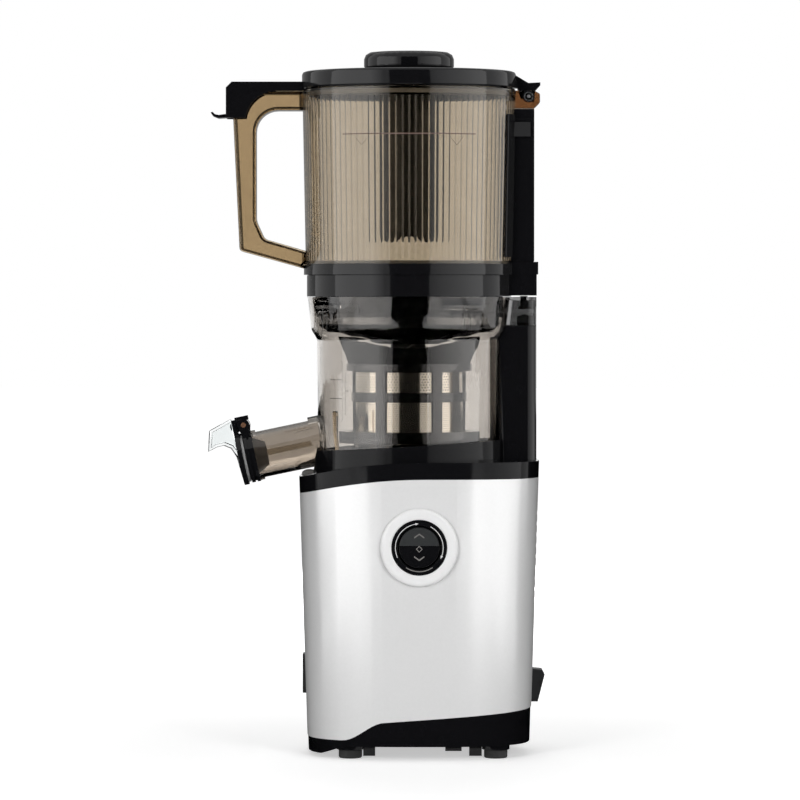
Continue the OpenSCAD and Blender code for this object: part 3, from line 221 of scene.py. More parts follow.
def make_floor():
    """A white sweep: plain near the part, glowing for the eye farther off."""
    tree = stage_sheet("floor", FLOOR_SIZE)[1]
    paint = tree.nodes.new("ShaderNodeBsdfDiffuse")
    paint.inputs["Color"].default_value = FLOOR_COLOR
    away = tree.nodes.new("ShaderNodeVectorMath")
    away.operation = "LENGTH"
    tree.links.new(own_place(tree), away.inputs[0])
    sweep = graded(tree, away.outputs["Value"], *SWEEP_ENDS, 0.5, 1)
    both = tree.nodes.new("ShaderNodeAddShader")
    tree.links.new(paint.outputs[0], both.inputs[0])
    tree.links.new(white_glow(tree, maths(tree, "MULTIPLY", seen(tree), sweep)),
                   both.inputs[1])
    finish_sheet(tree, both.outputs[0])


def card(name, place, size, shade, target=None, fade=None):
    """A flat studio card that only mirrors see; the eye looks through it. It faces the
    drive axis unless it has a target. A fade gives the sideways distances between which
    it grows from a dimmer shade."""
    target = target or (0, 0, place[2])
    turned = aimed(place, target).to_matrix().to_4x4()
    sheet, tree = stage_sheet(name, size, Matrix.Translation(place) @ turned)
    if fade:
        near, far, dimmest = fade
        aside = maths(tree, "ABSOLUTE", split_place(tree)["X"])
        shade = graded(tree, aside, near, far, dimmest, shade)
    rays = tree.nodes.new("ShaderNodeLightPath").outputs
    mix = tree.nodes.new("ShaderNodeMixShader")
    feed(tree, mix.inputs["Fac"], maths(tree, "GREATER_THAN", rays["Glossy Depth"], 0.5))
    tree.links.new(tree.nodes.new("ShaderNodeBsdfTransparent").outputs[0], mix.inputs[1])
    tree.links.new(white_glow(tree, shade), mix.inputs[2])
    finish_sheet(tree, mix.outputs[0])
    sheet.visible_camera = False
    sheet.visible_shadow = False
    sheet.visible_diffuse = False


def floor_card(name, x, y, size, shade, lift=0.002):
    """A card that lies on the floor and faces up."""
    card(name, (x, y, lift), size, shade, target=(x, y, 1))


make_camera()
make_world()
make_floor()
for side, way in (("left", -1), ("right", 1)):
    softbox(side + "_softbox", (0.96 * way, -1.92, 0.5), (0.6, 1.5), 20.5)
softbox("rear_softbox", (0, 2.2, 0.8), (1.4, 1.2), 26)
softbox("top_softbox", (0, -0.2, 2.3), (1.4, 1.4), 9)

# Cards without light (shade 0) put the dark bands into glossy and clear surfaces.
card("front_flag", (0.02, -1.35, 0.6), (1.06, 1.2), 0, target=(0.02, 0, 0.6))
card("rear_low_flag", (0, 1.2, 0), (4.2, 0.42), 0)
card("rear_middle_card", (0, 1.18, 0.255), (4.2, 0.1), 1.2)
card("rear_high_card", (0, 1.2, 0.86), (4.2, 1.3), 0.3)
for side, way, fade in (("left", -1, (0.9, 1.3, 0.3)), ("right", 1, (0.8, 1.8, 0.7))):
    card(side + "_card", (1.62 * way, -0.86, 0.78), (2.7, 1.56), 2.8, fade=fade)
    floor_card(side + "_floor_card", 1.05 * way, -0.78, (0.9, 0.9), 2.4, lift=0.003)
    card(side + "_rear_card", (1.42 * way, 0.52, 0.78), (1.1, 1.14), 1.1)
    floor_card(side + "_near_flag", 0.34 * way, -0.22, (0.54, 0.6), 0)
card("left_rear_flag", (-1.3, 0.74, 0.055), (0.9, 0.31), 0)
card("right_rear_flag", (1.14, 0.98, 0.055), (0.6, 0.31), 0)
card("left_low_flag", (-1.0, -0.05, -0.02), (1.0, 0.14), 0)
floor_card("floor_front_flag", 0.03, -0.75, (0.62, 1.3), 0)
floor_card("floor_rear_flag", 0, 0.66, (4.2, 1.2), 0)

# ---------------------------------------------------------------- finishes

GRAIN_HEIGHT = 0.0003
RIM_POWER = 3
finishes = {}


def finish(name, color, rough, grain=300, rough_var=0.05, bump=0.02, tone=0.08,
           metal=0.0, clear=0.0, ior=1.48, rim=1.0):
    """A moulded or metal finish. Its fine grain shows in the colour by tone, in the gloss
    by rough_var and in the surface by bump. A rim below one deepens a clear wall where
    the eye meets it edge on."""
    material = bpy.data.materials.new(name)
    material.use_nodes = True
    tree = material.node_tree
    shader = tree.nodes["Principled BSDF"]
    noise = tree.nodes.new("ShaderNodeTexNoise")
    noise.inputs["Scale"].default_value = grain
    noise.inputs["Detail"].default_value = 3
    tree.links.new(own_place(tree), noise.inputs["Vector"])
    speckle = noise.outputs["Fac"]

    shades = tree.nodes.new("ShaderNodeValToRGB")
    for stop, position, share in zip(shades.color_ramp.elements, (0.3, 0.7),
                                     (1 - tone, 1 + tone)):
        stop.position = position
        stop.color = (*[min(1, c * share) for c in color], 1)
    tree.links.new(speckle, shades.inputs["Fac"])
    tint = shades.outputs["Color"]
    if rim < 1:
        facing = tree.nodes.new("ShaderNodeLayerWeight")
        facing.inputs["Blend"].default_value = 0.5
        steep = maths(tree, "POWER", facing.outputs["Facing"], RIM_POWER)
        tint = tinted(tree, steep, tint, (*[c * rim for c in color], 1))
    tree.links.new(tint, shader.inputs["Base Color"])

    gloss = graded(tree, speckle, 0, 1, max(0.0, rough - rough_var),
                   min(1.0, rough + rough_var))
    tree.links.new(gloss, shader.inputs["Roughness"])
    relief = tree.nodes.new("ShaderNodeBump")
    relief.inputs["Strength"].default_value = bump
    relief.inputs["Distance"].default_value = GRAIN_HEIGHT
    tree.links.new(speckle, relief.inputs["Height"])
    tree.links.new(relief.outputs["Normal"], shader.inputs["Normal"])
    shader.inputs["Metallic"].default_value = metal
    shader.inputs["Transmission Weight"].default_value = clear
    shader.inputs["IOR"].default_value = ior
    finishes[name] = material
    return material


MESH_RADIUS = 37.1 * MM
HOLE_EDGE = 0.04       # half the soft edge of a hole, as a share of the pitch
# painted shade: the near-black colour painted on the holes in place of real openings
PAINTED_HOLE_SHADE = (0.01, 0.01, 0.01, 1)


def punched_steel(name, pitch, hole):
    """Bright sheet with staggered round holes, laid out round the drive axis. The holes are
    not cut: they are painted near black, as painted shade where the sheet would be open.
    """
    material = finish(name, (0.92, 0.88, 0.8), 0.1, grain=600, rough_var=0.03, bump=0.005,
                      tone=0.03, metal=1.0)
    tree = material.node_tree
    shader = tree.nodes["Principled BSDF"]
    place = split_place(tree)
    around = maths(tree, "ARCTAN2", place["Y"], place["X"])
    across = maths(tree, "MULTIPLY", around, MESH_RADIUS / pitch)
    rise = pitch * math.sqrt(3) / 2
    row = maths(tree, "DIVIDE", place["Z"], rise)
    odd = maths(tree, "MODULO", maths(tree, "FLOOR", row), 2)
    stagger = maths(tree, "ADD", across, maths(tree, "MULTIPLY", odd, 0.5))
    u = maths(tree, "SUBTRACT", maths(tree, "FRACT", stagger), 0.5)
    v = maths(tree, "SUBTRACT", maths(tree, "FRACT", row), 0.5)
    v = maths(tree, "MULTIPLY", v, rise / pitch)
    away = maths(tree, "SQRT", maths(tree, "ADD", maths(tree, "MULTIPLY", u, u),
                                     maths(tree, "MULTIPLY", v, v)))
    reach = hole / pitch / 2
    solid = graded(tree, away, reach - HOLE_EDGE, reach + HOLE_EDGE)
    sheet = shader.inputs["Base Color"].links[0].from_socket
    # the holes take the painted shade colour and no metal
    tree.links.new(tinted(tree, solid, PAINTED_HOLE_SHADE, sheet), shader.inputs["Base Color"])
    tree.links.new(solid, shader.inputs["Metallic"])


finish("white_shell", (0.9, 0.9, 0.9), 0.2, grain=500, rough_var=0.02, bump=0.01, tone=0.01,
       ior=2.3)
finish("bezel_white", (0.92, 0.92, 0.92), 0.3, grain=500, rough_var=0.02, bump=0.01,
       tone=0.01)
GLOSS_BLACK = (0.006, 0.006, 0.007)
GLOSS = {"grain": 400, "rough_var": 0.02, "bump": 0.004}
finish("black_gloss", GLOSS_BLACK, 0.07, ior=1.33, **GLOSS)
finish("deck_gloss", GLOSS_BLACK, 0.1, ior=1.22, **GLOSS)
finish("funnel_gloss", GLOSS_BLACK, 0.07, ior=2.3, **GLOSS)
finish("black_satin", (0.02, 0.02, 0.021), 0.38, grain=900, rough_var=0.06, bump=0.05)
# painted reflection: the rocker's upper half is painted lighter than black to stand for the
# sky it would mirror if tilted up
finish("rocker_painted_reflection", (0.036, 0.038, 0.039), 0.3, grain=900, rough_var=0.05, bump=0.02)
finish("mark_white", (0.75, 0.75, 0.75), 0.4, grain=900, bump=0.01)
finish("mark_grey", (0.22, 0.21, 0.20), 0.45, grain=900, bump=0.01)
finish("mark_brown", (0.13, 0.085, 0.07), 0.4, grain=900, bump=0.01)
finish("mark_smoke", (0.17, 0.17, 0.165), 0.3, grain=900, bump=0.01)
CLEAR = {"grain": 60, "rough_var": 0.01, "bump": 0.0015, "tone": 0.02, "clear": 1.0,
         "ior": 1.42, "rim": 0.3}
finish("smoke_clear", (0.64, 0.61, 0.575), 0.02, **CLEAR)
finish("smoke_dark", (0.25, 0.25, 0.25), 0.04, **CLEAR)
finish("amber_clear", (0.58, 0.52, 0.43), 0.02, **CLEAR)
finish("amber_handle", (0.62, 0.52, 0.38), 0.02, **CLEAR)
finish("amber_ear", (0.4, 0.26, 0.16), 0.04, **CLEAR)
finish("spout_clear", (0.5, 0.455, 0.405), 0.02, **CLEAR)
finish("clear_hood", (0.95, 0.97, 0.97), 0.02, **CLEAR)
finish("rubber_black", (0.02, 0.02, 0.02), 0.7, grain=1500, rough_var=0.1, bump=0.2)
finish("silicone_grey", (0.3, 0.3, 0.3), 0.45, grain=1200, rough_var=0.08, bump=0.05)
finish("strainer_grey", (0.085, 0.088, 0.094), 0.12, grain=900, rough_var=0.03, bump=0.01,
       metal=0.95)
finish("steel", (0.62, 0.62, 0.63), 0.3, grain=600, rough_var=0.1, bump=0.03, metal=1.0)
punched_steel("mesh_coarse", 2.1 * MM, 1.1 * MM)
punched_steel("mesh_fine", 1.6 * MM, 0.85 * MM)
finish("pin_brown", (0.16, 0.08, 0.045), 0.35, grain=700)
finish("auger_dark", (0.035, 0.035, 0.037), 0.3, grain=700, rough_var=0.06, bump=0.03)
finish("motor_steel", (0.4, 0.41, 0.42), 0.4, grain=500, metal=0.8)
finish("magnet", (0.06, 0.06, 0.065), 0.5, grain=900, bump=0.1)
finish("winding", (0.5, 0.22, 0.09), 0.35, grain=1200, bump=0.3, metal=0.8)
finish("cast_alloy", (0.45, 0.45, 0.47), 0.5, grain=700, bump=0.2, metal=0.7)
finish("gear_nylon", (0.75, 0.72, 0.62), 0.4, grain=800)
finish("grey_plastic", (0.18, 0.18, 0.19), 0.4, grain=800, bump=0.05)
finish("board_green", (0.03, 0.13, 0.06), 0.35, grain=400, tone=0.2)

# ---------------------------------------------------------------- shaping

pieces = []
replaced = set()      # CAD nodes that a piece stands for


def add_piece(name, bm, node, material=None, replaces=()):
    """Stands a finished shape in the scene, on the body that carries a CAD node. It has
    the finish of the node's slot unless it names another."""
    mesh = as_mesh(bm, name)
    for face in mesh.polygons:
        face.use_smooth = True
    mesh.set_sharp_from_angle(angle=SHARP_ANGLE)
    obj = in_scene(name, mesh)
    mesh.materials.append(finishes[material or SLOT[node]])
    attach(obj, BODY[node])
    if replaces:
        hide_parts(*replaces)
    replaced.update(replaces)
    pieces.append(obj)
    return obj


def cad_copy(node):
    """A CAD node's shape with its triangles merged to whole faces."""
    bm = bmesh.new()
    bm.from_mesh(frame["nodes"][node].data)
    bmesh.ops.remove_doubles(bm, verts=bm.verts, dist=CAD_GAP)
    bmesh.ops.dissolve_degenerate(bm, dist=CAD_GAP, edges=bm.edges)
    bmesh.ops.dissolve_limit(bm, angle_limit=FLAT_ANGLE, verts=bm.verts, edges=bm.edges)
    return bm


def outline_edges(bm, points, closed=True):
    verts = [bm.verts.new(Vector(point) * MM) for point in points]
    ends = verts[1:] + (verts[:1] if closed else [])
    return verts, [bm.edges.new(pair) for pair in zip(verts, ends)]


def lathe(section, steps=192):
    """A closed wall section, in radius and height, turned round the drive axis."""
    bm = bmesh.new()
    verts, edges = outline_edges(bm, [(r, 0, z) for r, z in section])
    bmesh.ops.spin(bm, geom=verts + edges, axis=UP, cent=(0, 0, 0), angle=math.tau,
                   steps=steps, use_merge=True)
    bmesh.ops.remove_doubles(bm, verts=bm.verts, dist=SEAM_GAP)
    bmesh.ops.recalc_face_normals(bm, faces=bm.faces)
    return bm


def raise_faces(bm, faces, low, high):
    """Gives flat faces a thickness from low to high."""
    made = bmesh.ops.extrude_face_region(bm, geom=faces)["geom"]
    bmesh.ops.translate(bm, vec=(0, 0, (high - low) * MM),
                        verts=[v for v in made if isinstance(v, bmesh.types.BMVert)])
    bmesh.ops.recalc_face_normals(bm, faces=bm.faces)
    return bm


def flat_face(bm, points, low):
    return bm.faces.new([bm.verts.new(Vector((x, y, low)) * MM) for x, y in points])


def plate(points, low, high):
    """A flat outline in x and y, given a thickness from low to high."""
    bm = bmesh.new()
    return raise_faces(bm, [flat_face(bm, points, low)], low, high)


def frame_line(points, wide, low, high):
    """A raised line that follows the inside of a flat outline. Known fault: the inset
    gives the line no width, because the new face has no normal yet, so that only upright
    walls without thickness stand there. A bm.normal_update() before it would mend that."""
    bm = bmesh.new()
    ring = bmesh.ops.inset_region(bm, faces=[flat_face(bm, points, low)],
                                  thickness=wide * MM, use_boundary=True,
                                  use_even_offset=True)["faces"]
    bmesh.ops.delete(bm, geom=[f for f in bm.faces if f not in ring], context="FACES")
    return raise_faces(bm, bm.faces[:], low, high)


def arc_line(inner, outer, start, sweep, low, high, steps=48):
    """Part of a flat ring, from a start angle through a sweep, in degrees."""
    bm = bmesh.new()
    across, along = math.cos(math.radians(start)), math.sin(math.radians(start))
    verts, edges = outline_edges(bm, [(r * across, r * along, low)
                                      for r in (inner, outer)], False)
    bmesh.ops.spin(bm, geom=verts + edges, axis=UP, cent=(0, 0, 0),
                   angle=math.radians(sweep), steps=steps)
    return raise_faces(bm, bm.faces[:], low, high)


def bevelled(bm, edges, width, segments, clamped=True):
    bmesh.ops.bevel(bm, geom=edges, offset=width * MM, offset_type="OFFSET",
                    segments=segments, profile=0.5, affect="EDGES", clamp_overlap=clamped,
                    material=-1)
    return bm


def ease(bm, width):
    """Rounds the edges where two faces meet at more than a slight angle."""
    sharp = [e for e in bm.edges if len(e.link_faces) == 2
             and e.calc_face_angle(0) > EASED_ANGLE]
    return bevelled(bm, sharp, width, 2)


def block(low, high, edge=0.0):
    """A box between two corners, its edges eased."""
    bm = bmesh.new()
    bmesh.ops.create_cube(bm, size=MM)
    low, high = Vector(low), Vector(high)
    bmesh.ops.scale(bm, vec=high - low, verts=bm.verts)
    bmesh.ops.translate(bm, vec=(low + high) / 2 * MM, verts=bm.verts)
    return ease(bm, edge) if edge else bm


def rod(radius, low, high, steps=48, edge=0.0):
    """An upright round bar, its rims eased."""
    bm = bmesh.new()
    bmesh.ops.create_cone(bm, cap_ends=True, segments=steps, radius1=radius * MM,
                          radius2=radius * MM, depth=(high - low) * MM)
    bmesh.ops.translate(bm, vec=(0, 0, (low + high) / 2 * MM), verts=bm.verts)
    return ease(bm, edge) if edge else bm


def joined(*parts):
    """Several shapes as one."""
    whole = bmesh.new()
    for part in parts:
        mesh = as_mesh(part)
        whole.from_mesh(mesh)
        bpy.data.meshes.remove(mesh)
    return whole


def carved(bm, cutter):
    """A closed shape with another taken out of it."""
    stand_ins = [in_scene("carving", as_mesh(shape)) for shape in (bm, cutter)]
    cut = stand_ins[0].modifiers.new("cut", "BOOLEAN")
    cut.operation = "DIFFERENCE"
    cut.solver = "EXACT"
    cut.object = stand_ins[1]
    view = bpy.context.evaluated_depsgraph_get()
    made = bpy.data.meshes.new_from_object(stand_ins[0].evaluated_get(view))
    result = bmesh.new()
    result.from_mesh(made)
    bpy.data.meshes.remove(made)
    for obj in stand_ins:
        bpy.data.meshes.remove(obj.data)
    return result


def sliced(bm, point, normal, **clear):
    """Cuts a shape along a plane, and may clear one side of it."""
    bmesh.ops.bisect_plane(bm, geom=bm.verts[:] + bm.edges[:] + bm.faces[:], dist=CUT_SNAP,
                           plane_co=Vector(point) * MM, plane_no=normal, **clear)
    return bm


def placed(bm, matrix):
    bmesh.ops.transform(bm, matrix=matrix, verts=bm.verts)
    return bm


def shift(x, y, z=0.0):
    return Matrix.Translation(Vector((x, y, z)) * MM)


def turn(degrees, axis="Z"):
    return Matrix.Rotation(math.radians(degrees), 4, axis)


def wrapped(bm, radius, around, up=0.0, step=2.5):
    """Bends a flat shape round the drive axis: x runs to the right along the wall,
    y runs up and z stands out of it. Angles go from the front to the right, and the
    wall bends at every step."""
    width = [v.co.x for v in bm.verts]
    cut = math.floor(min(width) / MM / step) * step + step
    while cut < max(width) / MM:
        sliced(bm, (cut, 0, 0), (1, 0, 0))
        cut += step
    for vert in bm.verts:
        x, y, z = vert.co
        turned = math.radians(around) + x / (radius * MM)
        out = radius * MM + z
        vert.co = (out * math.sin(turned), -out * math.cos(turned), y + up * MM)
    bmesh.ops.recalc_face_normals(bm, faces=bm.faces)
    return bm


def bow(centre, radius, start, end, count=6):
    """Points along an arc, for a rounded corner of an outline."""
    angles = [math.radians(start + (end - start) * k / count) for k in range(count + 1)]
    return [(centre[0] + radius * math.cos(a), centre[1] + radius * math.sin(a))
            for a in angles]


def round_box(x0, y0, x1, y1, r):
    return (bow((x1 - r, y1 - r), r, 0, 90) + bow((x0 + r, y1 - r), r, 90, 180)
            + bow((x0 + r, y0 + r), r, 180, 270) + bow((x1 - r, y0 + r), r, 270, 360))


# Places that hold their own directions: the control and the lid's hinge look to the
# front, and the spout falls away from the drum.
CONTROL = shift(6.8, 0, 144.5) @ turn(90, "X")
HINGE = shift(82.1, -13.0, 451.4) @ turn(90, "X")
FALL = math.radians(11.8)
SPOUT = Matrix(((-math.sin(FALL), 0, -math.cos(FALL), -62.6 * MM), (0, 1, 0, 0),
                (math.cos(FALL), 0, -math.sin(FALL), 213.5 * MM), (0, 0, 0, 1)))
# An outline drawn in y and z, given its thickness along x.
SIDE_ON = Matrix(((0, 0, 1, 0), (1, 0, 0, 0), (0, 1, 0, 0), (0, 0, 0, 1)))

# ---------------------------------------------------------------- hopper

BOWL_FOOT_R, BOWL_FOOT = 71.2, 336.5
BOWL_RIM_R, BOWL_RIM = 73.5, 457
BOWL_WALL = 2.5
BOWL_LIP = 0.8        # the chamfers of the rim
FILL_LEVEL = 424.2
FILL_RADIUS, POINTER_RADIUS = 72.9, 72.8
RIBS = 96
RIB_STEPS = 8
RIB_HEIGHT = 0.32
RIB_LOW, RIB_HIGH = 338.8, 450.3
RIB_FADE = 0.2        # how soon a rib sinks into the wall at its ends


def bowl_outer(z):
    """The outer radius of the tapered bowl at a height."""
    return BOWL_FOOT_R + (BOWL_RIM_R - BOWL_FOOT_R) * (z - BOWL_FOOT) / (BOWL_RIM - BOWL_FOOT)


def hopper_bowl():
    """The hopper's wall, with fine ribs down its inner face."""
    shoulder = BOWL_RIM - BOWL_LIP
    inside = (BOWL_FOOT, RIB_LOW - RIB_FADE, RIB_LOW, RIB_HIGH, RIB_HIGH + RIB_FADE, shoulder)
    section = [(bowl_outer(z) - BOWL_WALL, z) for z in inside]
    section += [(BOWL_RIM_R - BOWL_WALL + BOWL_LIP, BOWL_RIM),
                (BOWL_RIM_R - BOWL_LIP, BOWL_RIM),
                (bowl_outer(shoulder), shoulder), (BOWL_FOOT_R, BOWL_FOOT)]
    bm = lathe(section, RIBS * RIB_STEPS)
    for vert in bm.verts:
        x, y, z = vert.co / MM
        reach = math.hypot(x, y)
        place = math.atan2(y, x) / math.tau * RIBS
        beside = round(abs(place - round(place)) * RIB_STEPS)
        if (beside < 2 and RIB_LOW - RIB_FADE / 4 < z < RIB_HIGH + RIB_FADE / 4
                and reach < bowl_outer(z) - BOWL_WALL / 2):
            inward = (reach - RIB_HEIGHT * (1 - 0.8 * beside)) / reach
            vert.co.x *= inward
            vert.co.y *= inward
    return bm


def hopper_lugs():
    """Two ears on the column's side of the rim that hold the lid's hinge pin."""
    ear = [(72.6, 443.4), (86, 443.4), (90, 447.4), (90, 453.4), (86, 455.6), (73, 455.6)]
    ears = [placed(plate(ear, y, y + 7), turn(90, "X")) for y in (-13, 6)]
    return ease(joined(*ears), 0.8)


def fill_marks():
    """The fill line round the front of the bowl, with a plain pointer at each side."""
    line = block((-48.6, -0.4, -0.5), (48.6, 0.4, 0.15))
    marks = [wrapped(line, FILL_RADIUS, 0, FILL_LEVEL)]
    for x in (-33.4, 33.4):
        pointer = frame_line([(x - 5, -2), (x, -7.6), (x + 5, -2)], 1.2, -0.5, 0.3)
        marks.append(wrapped(pointer, POINTER_RADIUS, 0, FILL_LEVEL, 1.5))
    return joined(*marks)


def spine_catch():
    """A sloping pad on the front of the spine, under a thin ledge."""
    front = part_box("hopper_spine")[0][1] / MM
    foot, top = 423.6, 434.5
    side = [(front - 0.4, top), (front - 0.9, top - 0.9), (front - 4.2, foot),
            (front + 1, foot), (front + 1, top)]
    pad = placed(plate(side, 71.6, 83.4), SIDE_ON)
    ledge = block((70.6, front - 1.4, top), (84, front + 1, top + 1.7), 0.3)
    return joined(ease(pad, 0.3), ledge)


def spine_cheeks():
    """Two curved cheeks that reach from the spine round the right of the bowl."""
    cheeks = []
    for around in (72.5, 107.5):
        cheek = ease(sliced(block((-8.4, 0, -1.0), (8.4, 98, 1.2)), (0, 49, 0), (0, 1, 0)),
                     0.5)
        cheek = wrapped(cheek, BOWL_RIM_R + 0.1, around, 341)
        for vert in cheek.verts:
            reach = math.hypot(vert.co.x, vert.co.y)
            lean = (BOWL_RIM_R - bowl_outer(vert.co.z / MM)) * MM
            vert.co.x *= (reach - lean) / reach
            vert.co.y *= (reach - lean) / reach
        cheeks.append(cheek)
    return joined(*cheeks)


add_piece("hopper_wall", hopper_bowl(), "hopper_bowl", replaces=["hopper_bowl"])
add_piece("hopper_ears", hopper_lugs(), "hopper_bowl", "amber_ear")
add_piece("fill_marks", fill_marks(), "hopper_bowl", "mark_brown")
add_piece("hinge_nut", placed(rod(4.1, 0, 1.6, 40, 0.4), HINGE), "hinge_pin", "black_gloss")
nut_rings = joined(arc_line(2.5, 3.2, 0, 360, 1.4, 1.95), rod(1.15, 1.4, 2.1, 24, 0.3))
add_piece("hinge_nut_rings", placed(nut_rings, HINGE), "hinge_pin", "steel")
add_piece("spine_catch", spine_catch(), "hopper_spine")
add_piece("spine_cheeks", spine_cheeks(), "hopper_spine")

# ---------------------------------------------------------------- drum and strainer

# Angles round the drum are in degrees, from the front to the right.
TRACK_RADIUS, TRACK_ANGLE, TRACK_LEVEL = 69.6, -55.6, 306
SCALE_RADIUS = 62.9
SCALE_RIGHT, SCALE_LEFT, SCALE_INNER = -46.3, -58.7, -43.6
FIN_RADIUS, FIN_ANGLE = 59.8, -57.2
RIB_RADIUS, RIB_ANGLE = 60.2, 71.5
FINE_MESH_TOP = 245


def bayonet_outline():
    """A raised path on the drum's rim: a short leg, then a bar to the right."""
    half, bar, foot, under = 2.5, 32, -15, -3.2
    return ([(-half, foot), (-half, -2)] + bow((3 - half, 0), 3, 180, 90)
            + bow((bar - 1.5, 1.5), 1.5, 90, 0) + [(bar, under), (half, under),
                                                   (half, foot)])


def scale_lines():
    """Two plain measuring frames on the drum's left wall, with their tick lines."""
    degree = math.radians(1) * SCALE_RADIUS

    def strip(x0, y0, x1, y1):
        return wrapped(block((x0, y0, -0.3), (x1, y1, 0.12)), SCALE_RADIUS, 0)

    right, left, inner = [a * degree for a in (SCALE_RIGHT, SCALE_LEFT, SCALE_INNER)]
    outer_frame = frame_line(round_box(-13.6, 228.7, 0, 270.6, 2.2), 0.4, -0.3, 0.12)
    sliced(outer_frame, (-12.6, 0, 0), (1, 0, 0), clear_inner=True)
    inner_frame = frame_line(round_box(0, 232.5, 7, 263, 1.8), 0.35, -0.3, 0.12)
    sliced(inner_frame, (3.2, 0, 0), (1, 0, 0), clear_outer=True)
    return joined(wrapped(outer_frame, SCALE_RADIUS, SCALE_RIGHT),
                  *[strip(left, z - 0.2, right, z + 0.2) for z in (257.3, 244.5)],
                  wrapped(inner_frame, SCALE_RADIUS, SCALE_INNER),
                  strip(inner, 249.6, inner + 3.2, 250))


def drum_fin():
    """A tapered rib inside the drum that keeps the pulp off the spout."""
    fin = plate([(-1.9, 234.5), (-1.2, 235.8), (1.2, 235.8), (2, 234.2), (2, 219),
                 (3.2, 212), (3.4, 206), (2.6, 206), (-0.6, 222)], -1.6, 0.2)
    return wrapped(fin, FIN_RADIUS, FIN_ANGLE)


def feed_funnel():
    """The funnel under the hopper: a round wall that turns in to the screw's mouth."""
    return lathe([(62.55, 326), (62.55, 295.6), (61.9, 294), (60.4, 292.9), (57, 292.2),
                  (21, 281.5), (21, 284.2), (56, 295.5), (60, 302), (60, 326)])


def strainer_mesh():
    """The mesh panels: a coarse grade in the upper windows and a fine one below."""
    obj = add_piece("mesh_panels", cad_copy("strainer_mesh"), "strainer_mesh", "mesh_coarse",
                    replaces=["strainer_mesh"])
    obj.data.materials.append(finishes["mesh_fine"])
    for face in obj.data.polygons:
        if face.center.z < FINE_MESH_TOP * MM:
            face.material_index = 1


for count in range(4):
    track = wrapped(frame_line(bayonet_outline(), 0.6, -0.1, 0.35), TRACK_RADIUS,
                    TRACK_ANGLE + 90 * count, TRACK_LEVEL)
    add_piece("drum_track_%d" % (count + 1), track, "drum", "mark_smoke")
add_piece("drum_scale", scale_lines(), "drum", "mark_grey")
add_piece("drum_fin", drum_fin(), "drum", "amber_handle")
side_rib = wrapped(block((-4, 214, -1.4), (4, 286, 0), 0.3), RIB_RADIUS, RIB_ANGLE)
add_piece("drum_side_rib", side_rib, "drum", "amber_clear")
add_piece("funnel_form", feed_funnel(), "feed_funnel", "funnel_gloss",
          replaces=["feed_funnel"])
strainer_mesh()

# ---------------------------------------------------------------- spout

GUIDE_RADIUS, WINDOW_RADIUS = 13.55, 16
PAD_X, PAD_Y, PAD_TOP = -68.6, -3, 192.6
PAD_SLOPE = 0.47


def rest_pad():
    """The grey pad that the spout rests on, its top sloping to the front."""
    bm = placed(rod(5.4, 184, 200), shift(PAD_X, PAD_Y))
    sliced(bm, (PAD_X, PAD_Y, PAD_TOP), (0, -PAD_SLOPE, 1), clear_outer=True)
    bmesh.ops.holes_fill(bm, edges=[e for e in bm.edges if e.is_boundary])
    bmesh.ops.recalc_face_normals(bm, faces=bm.faces)
    return ease(bm, 0.35)


guide = wrapped(block((-2.2, 6, -0.7), (2.2, 43, 0), 0.2), GUIDE_RADIUS, 180)
add_piece("spout_guide", placed(guide, SPOUT), "spout")
window = frame_line(round_box(-2.5, 1, 11.4, 14, 2), 0.4, -0.3, 0.1)
window = wrapped(window, WINDOW_RADIUS, 0, step=1.5)
add_piece("spout_window", placed(window, SPOUT), "spout", "mark_brown")
add_piece("rest_pad", rest_pad(), "spout_rest", replaces=["spout_rest"])

# ---------------------------------------------------------------- control

# Each layer on the ring and on the disc starts below the front that carries it.
ring_front = -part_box("control_ring")[0][1] / MM
ring_mark_low, ring_mark_high = ring_front - 0.3, ring_front + 0.12
disc_front = -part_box("rocker")[0][1] / MM
disc_low = disc_front - 0.4
DISC_RADIUS = 13.4
DISC_SPLIT = 1.2      # height of the line between its halves


def control_arrows():
    """Two turning arrows printed on the control's ring."""
    parts = []
    for start, sweep in ((205, -106), (62, -82)):
        parts.append(arc_line(15.9, 16.35, start, sweep, ring_mark_low, ring_mark_high))
        head = plate([(15.2, 0), (17, 0), (16.1, -2.1)], ring_mark_low, ring_mark_high)
        parts.append(placed(head, turn(start + sweep)))
    return joined(*parts)


def rocker_faces():
    """The rocker's front: an upper half painted lighter grey, as a painted reflection of the
    sky, over a dark lower half.
    """
    side = math.degrees(math.asin(DISC_SPLIT / DISC_RADIUS))
    halves = ((side, 180 - side, 0.25), (180 - side, 360 + side, 0.15))
    return [ease(plate(bow((0, 0), DISC_RADIUS, start, end, 32), disc_low,
                       disc_front + proud), 0.2) for start, end, proud in halves]


def rocker_marks():
    """Chevrons for the two directions, and a small diamond between them."""
    low, high = disc_low, disc_front + 0.32
    chevron = [(-3.4, 0), (0, 2.4), (3.4, 0), (3.4, -1), (0, 1.4), (-3.4, -1)]
    parts = [placed(plate(chevron, low, high), shift(0, y) @ turn(angle))
             for y, angle in ((7.2, 0), (-6.6, 180))]
    diamond = arc_line(1.6, 2.3, 0, 360, low, high, steps=4)
    return joined(*parts, placed(diamond, shift(0, -1)))


rest_arc = arc_line(15.8, 16.4, 236, 68, ring_mark_low, ring_mark_high)
upper_half, lower_half = rocker_faces()
for name, bm, node, material in (
        ("control_arrows", control_arrows(), "control_ring", "mark_white"),
        ("control_rest_arc", rest_arc, "control_ring", "mark_grey"),
        # the upper half's lighter grey is a painted reflection
        ("rocker_upper", upper_half, "rocker", "rocker_painted_reflection"),
        ("rocker_lower", lower_half, "rocker", "black_gloss"),
        ("rocker_marks", rocker_marks(), "rocker", "mark_grey")):
    add_piece(name, placed(bm, CONTROL), node, material)

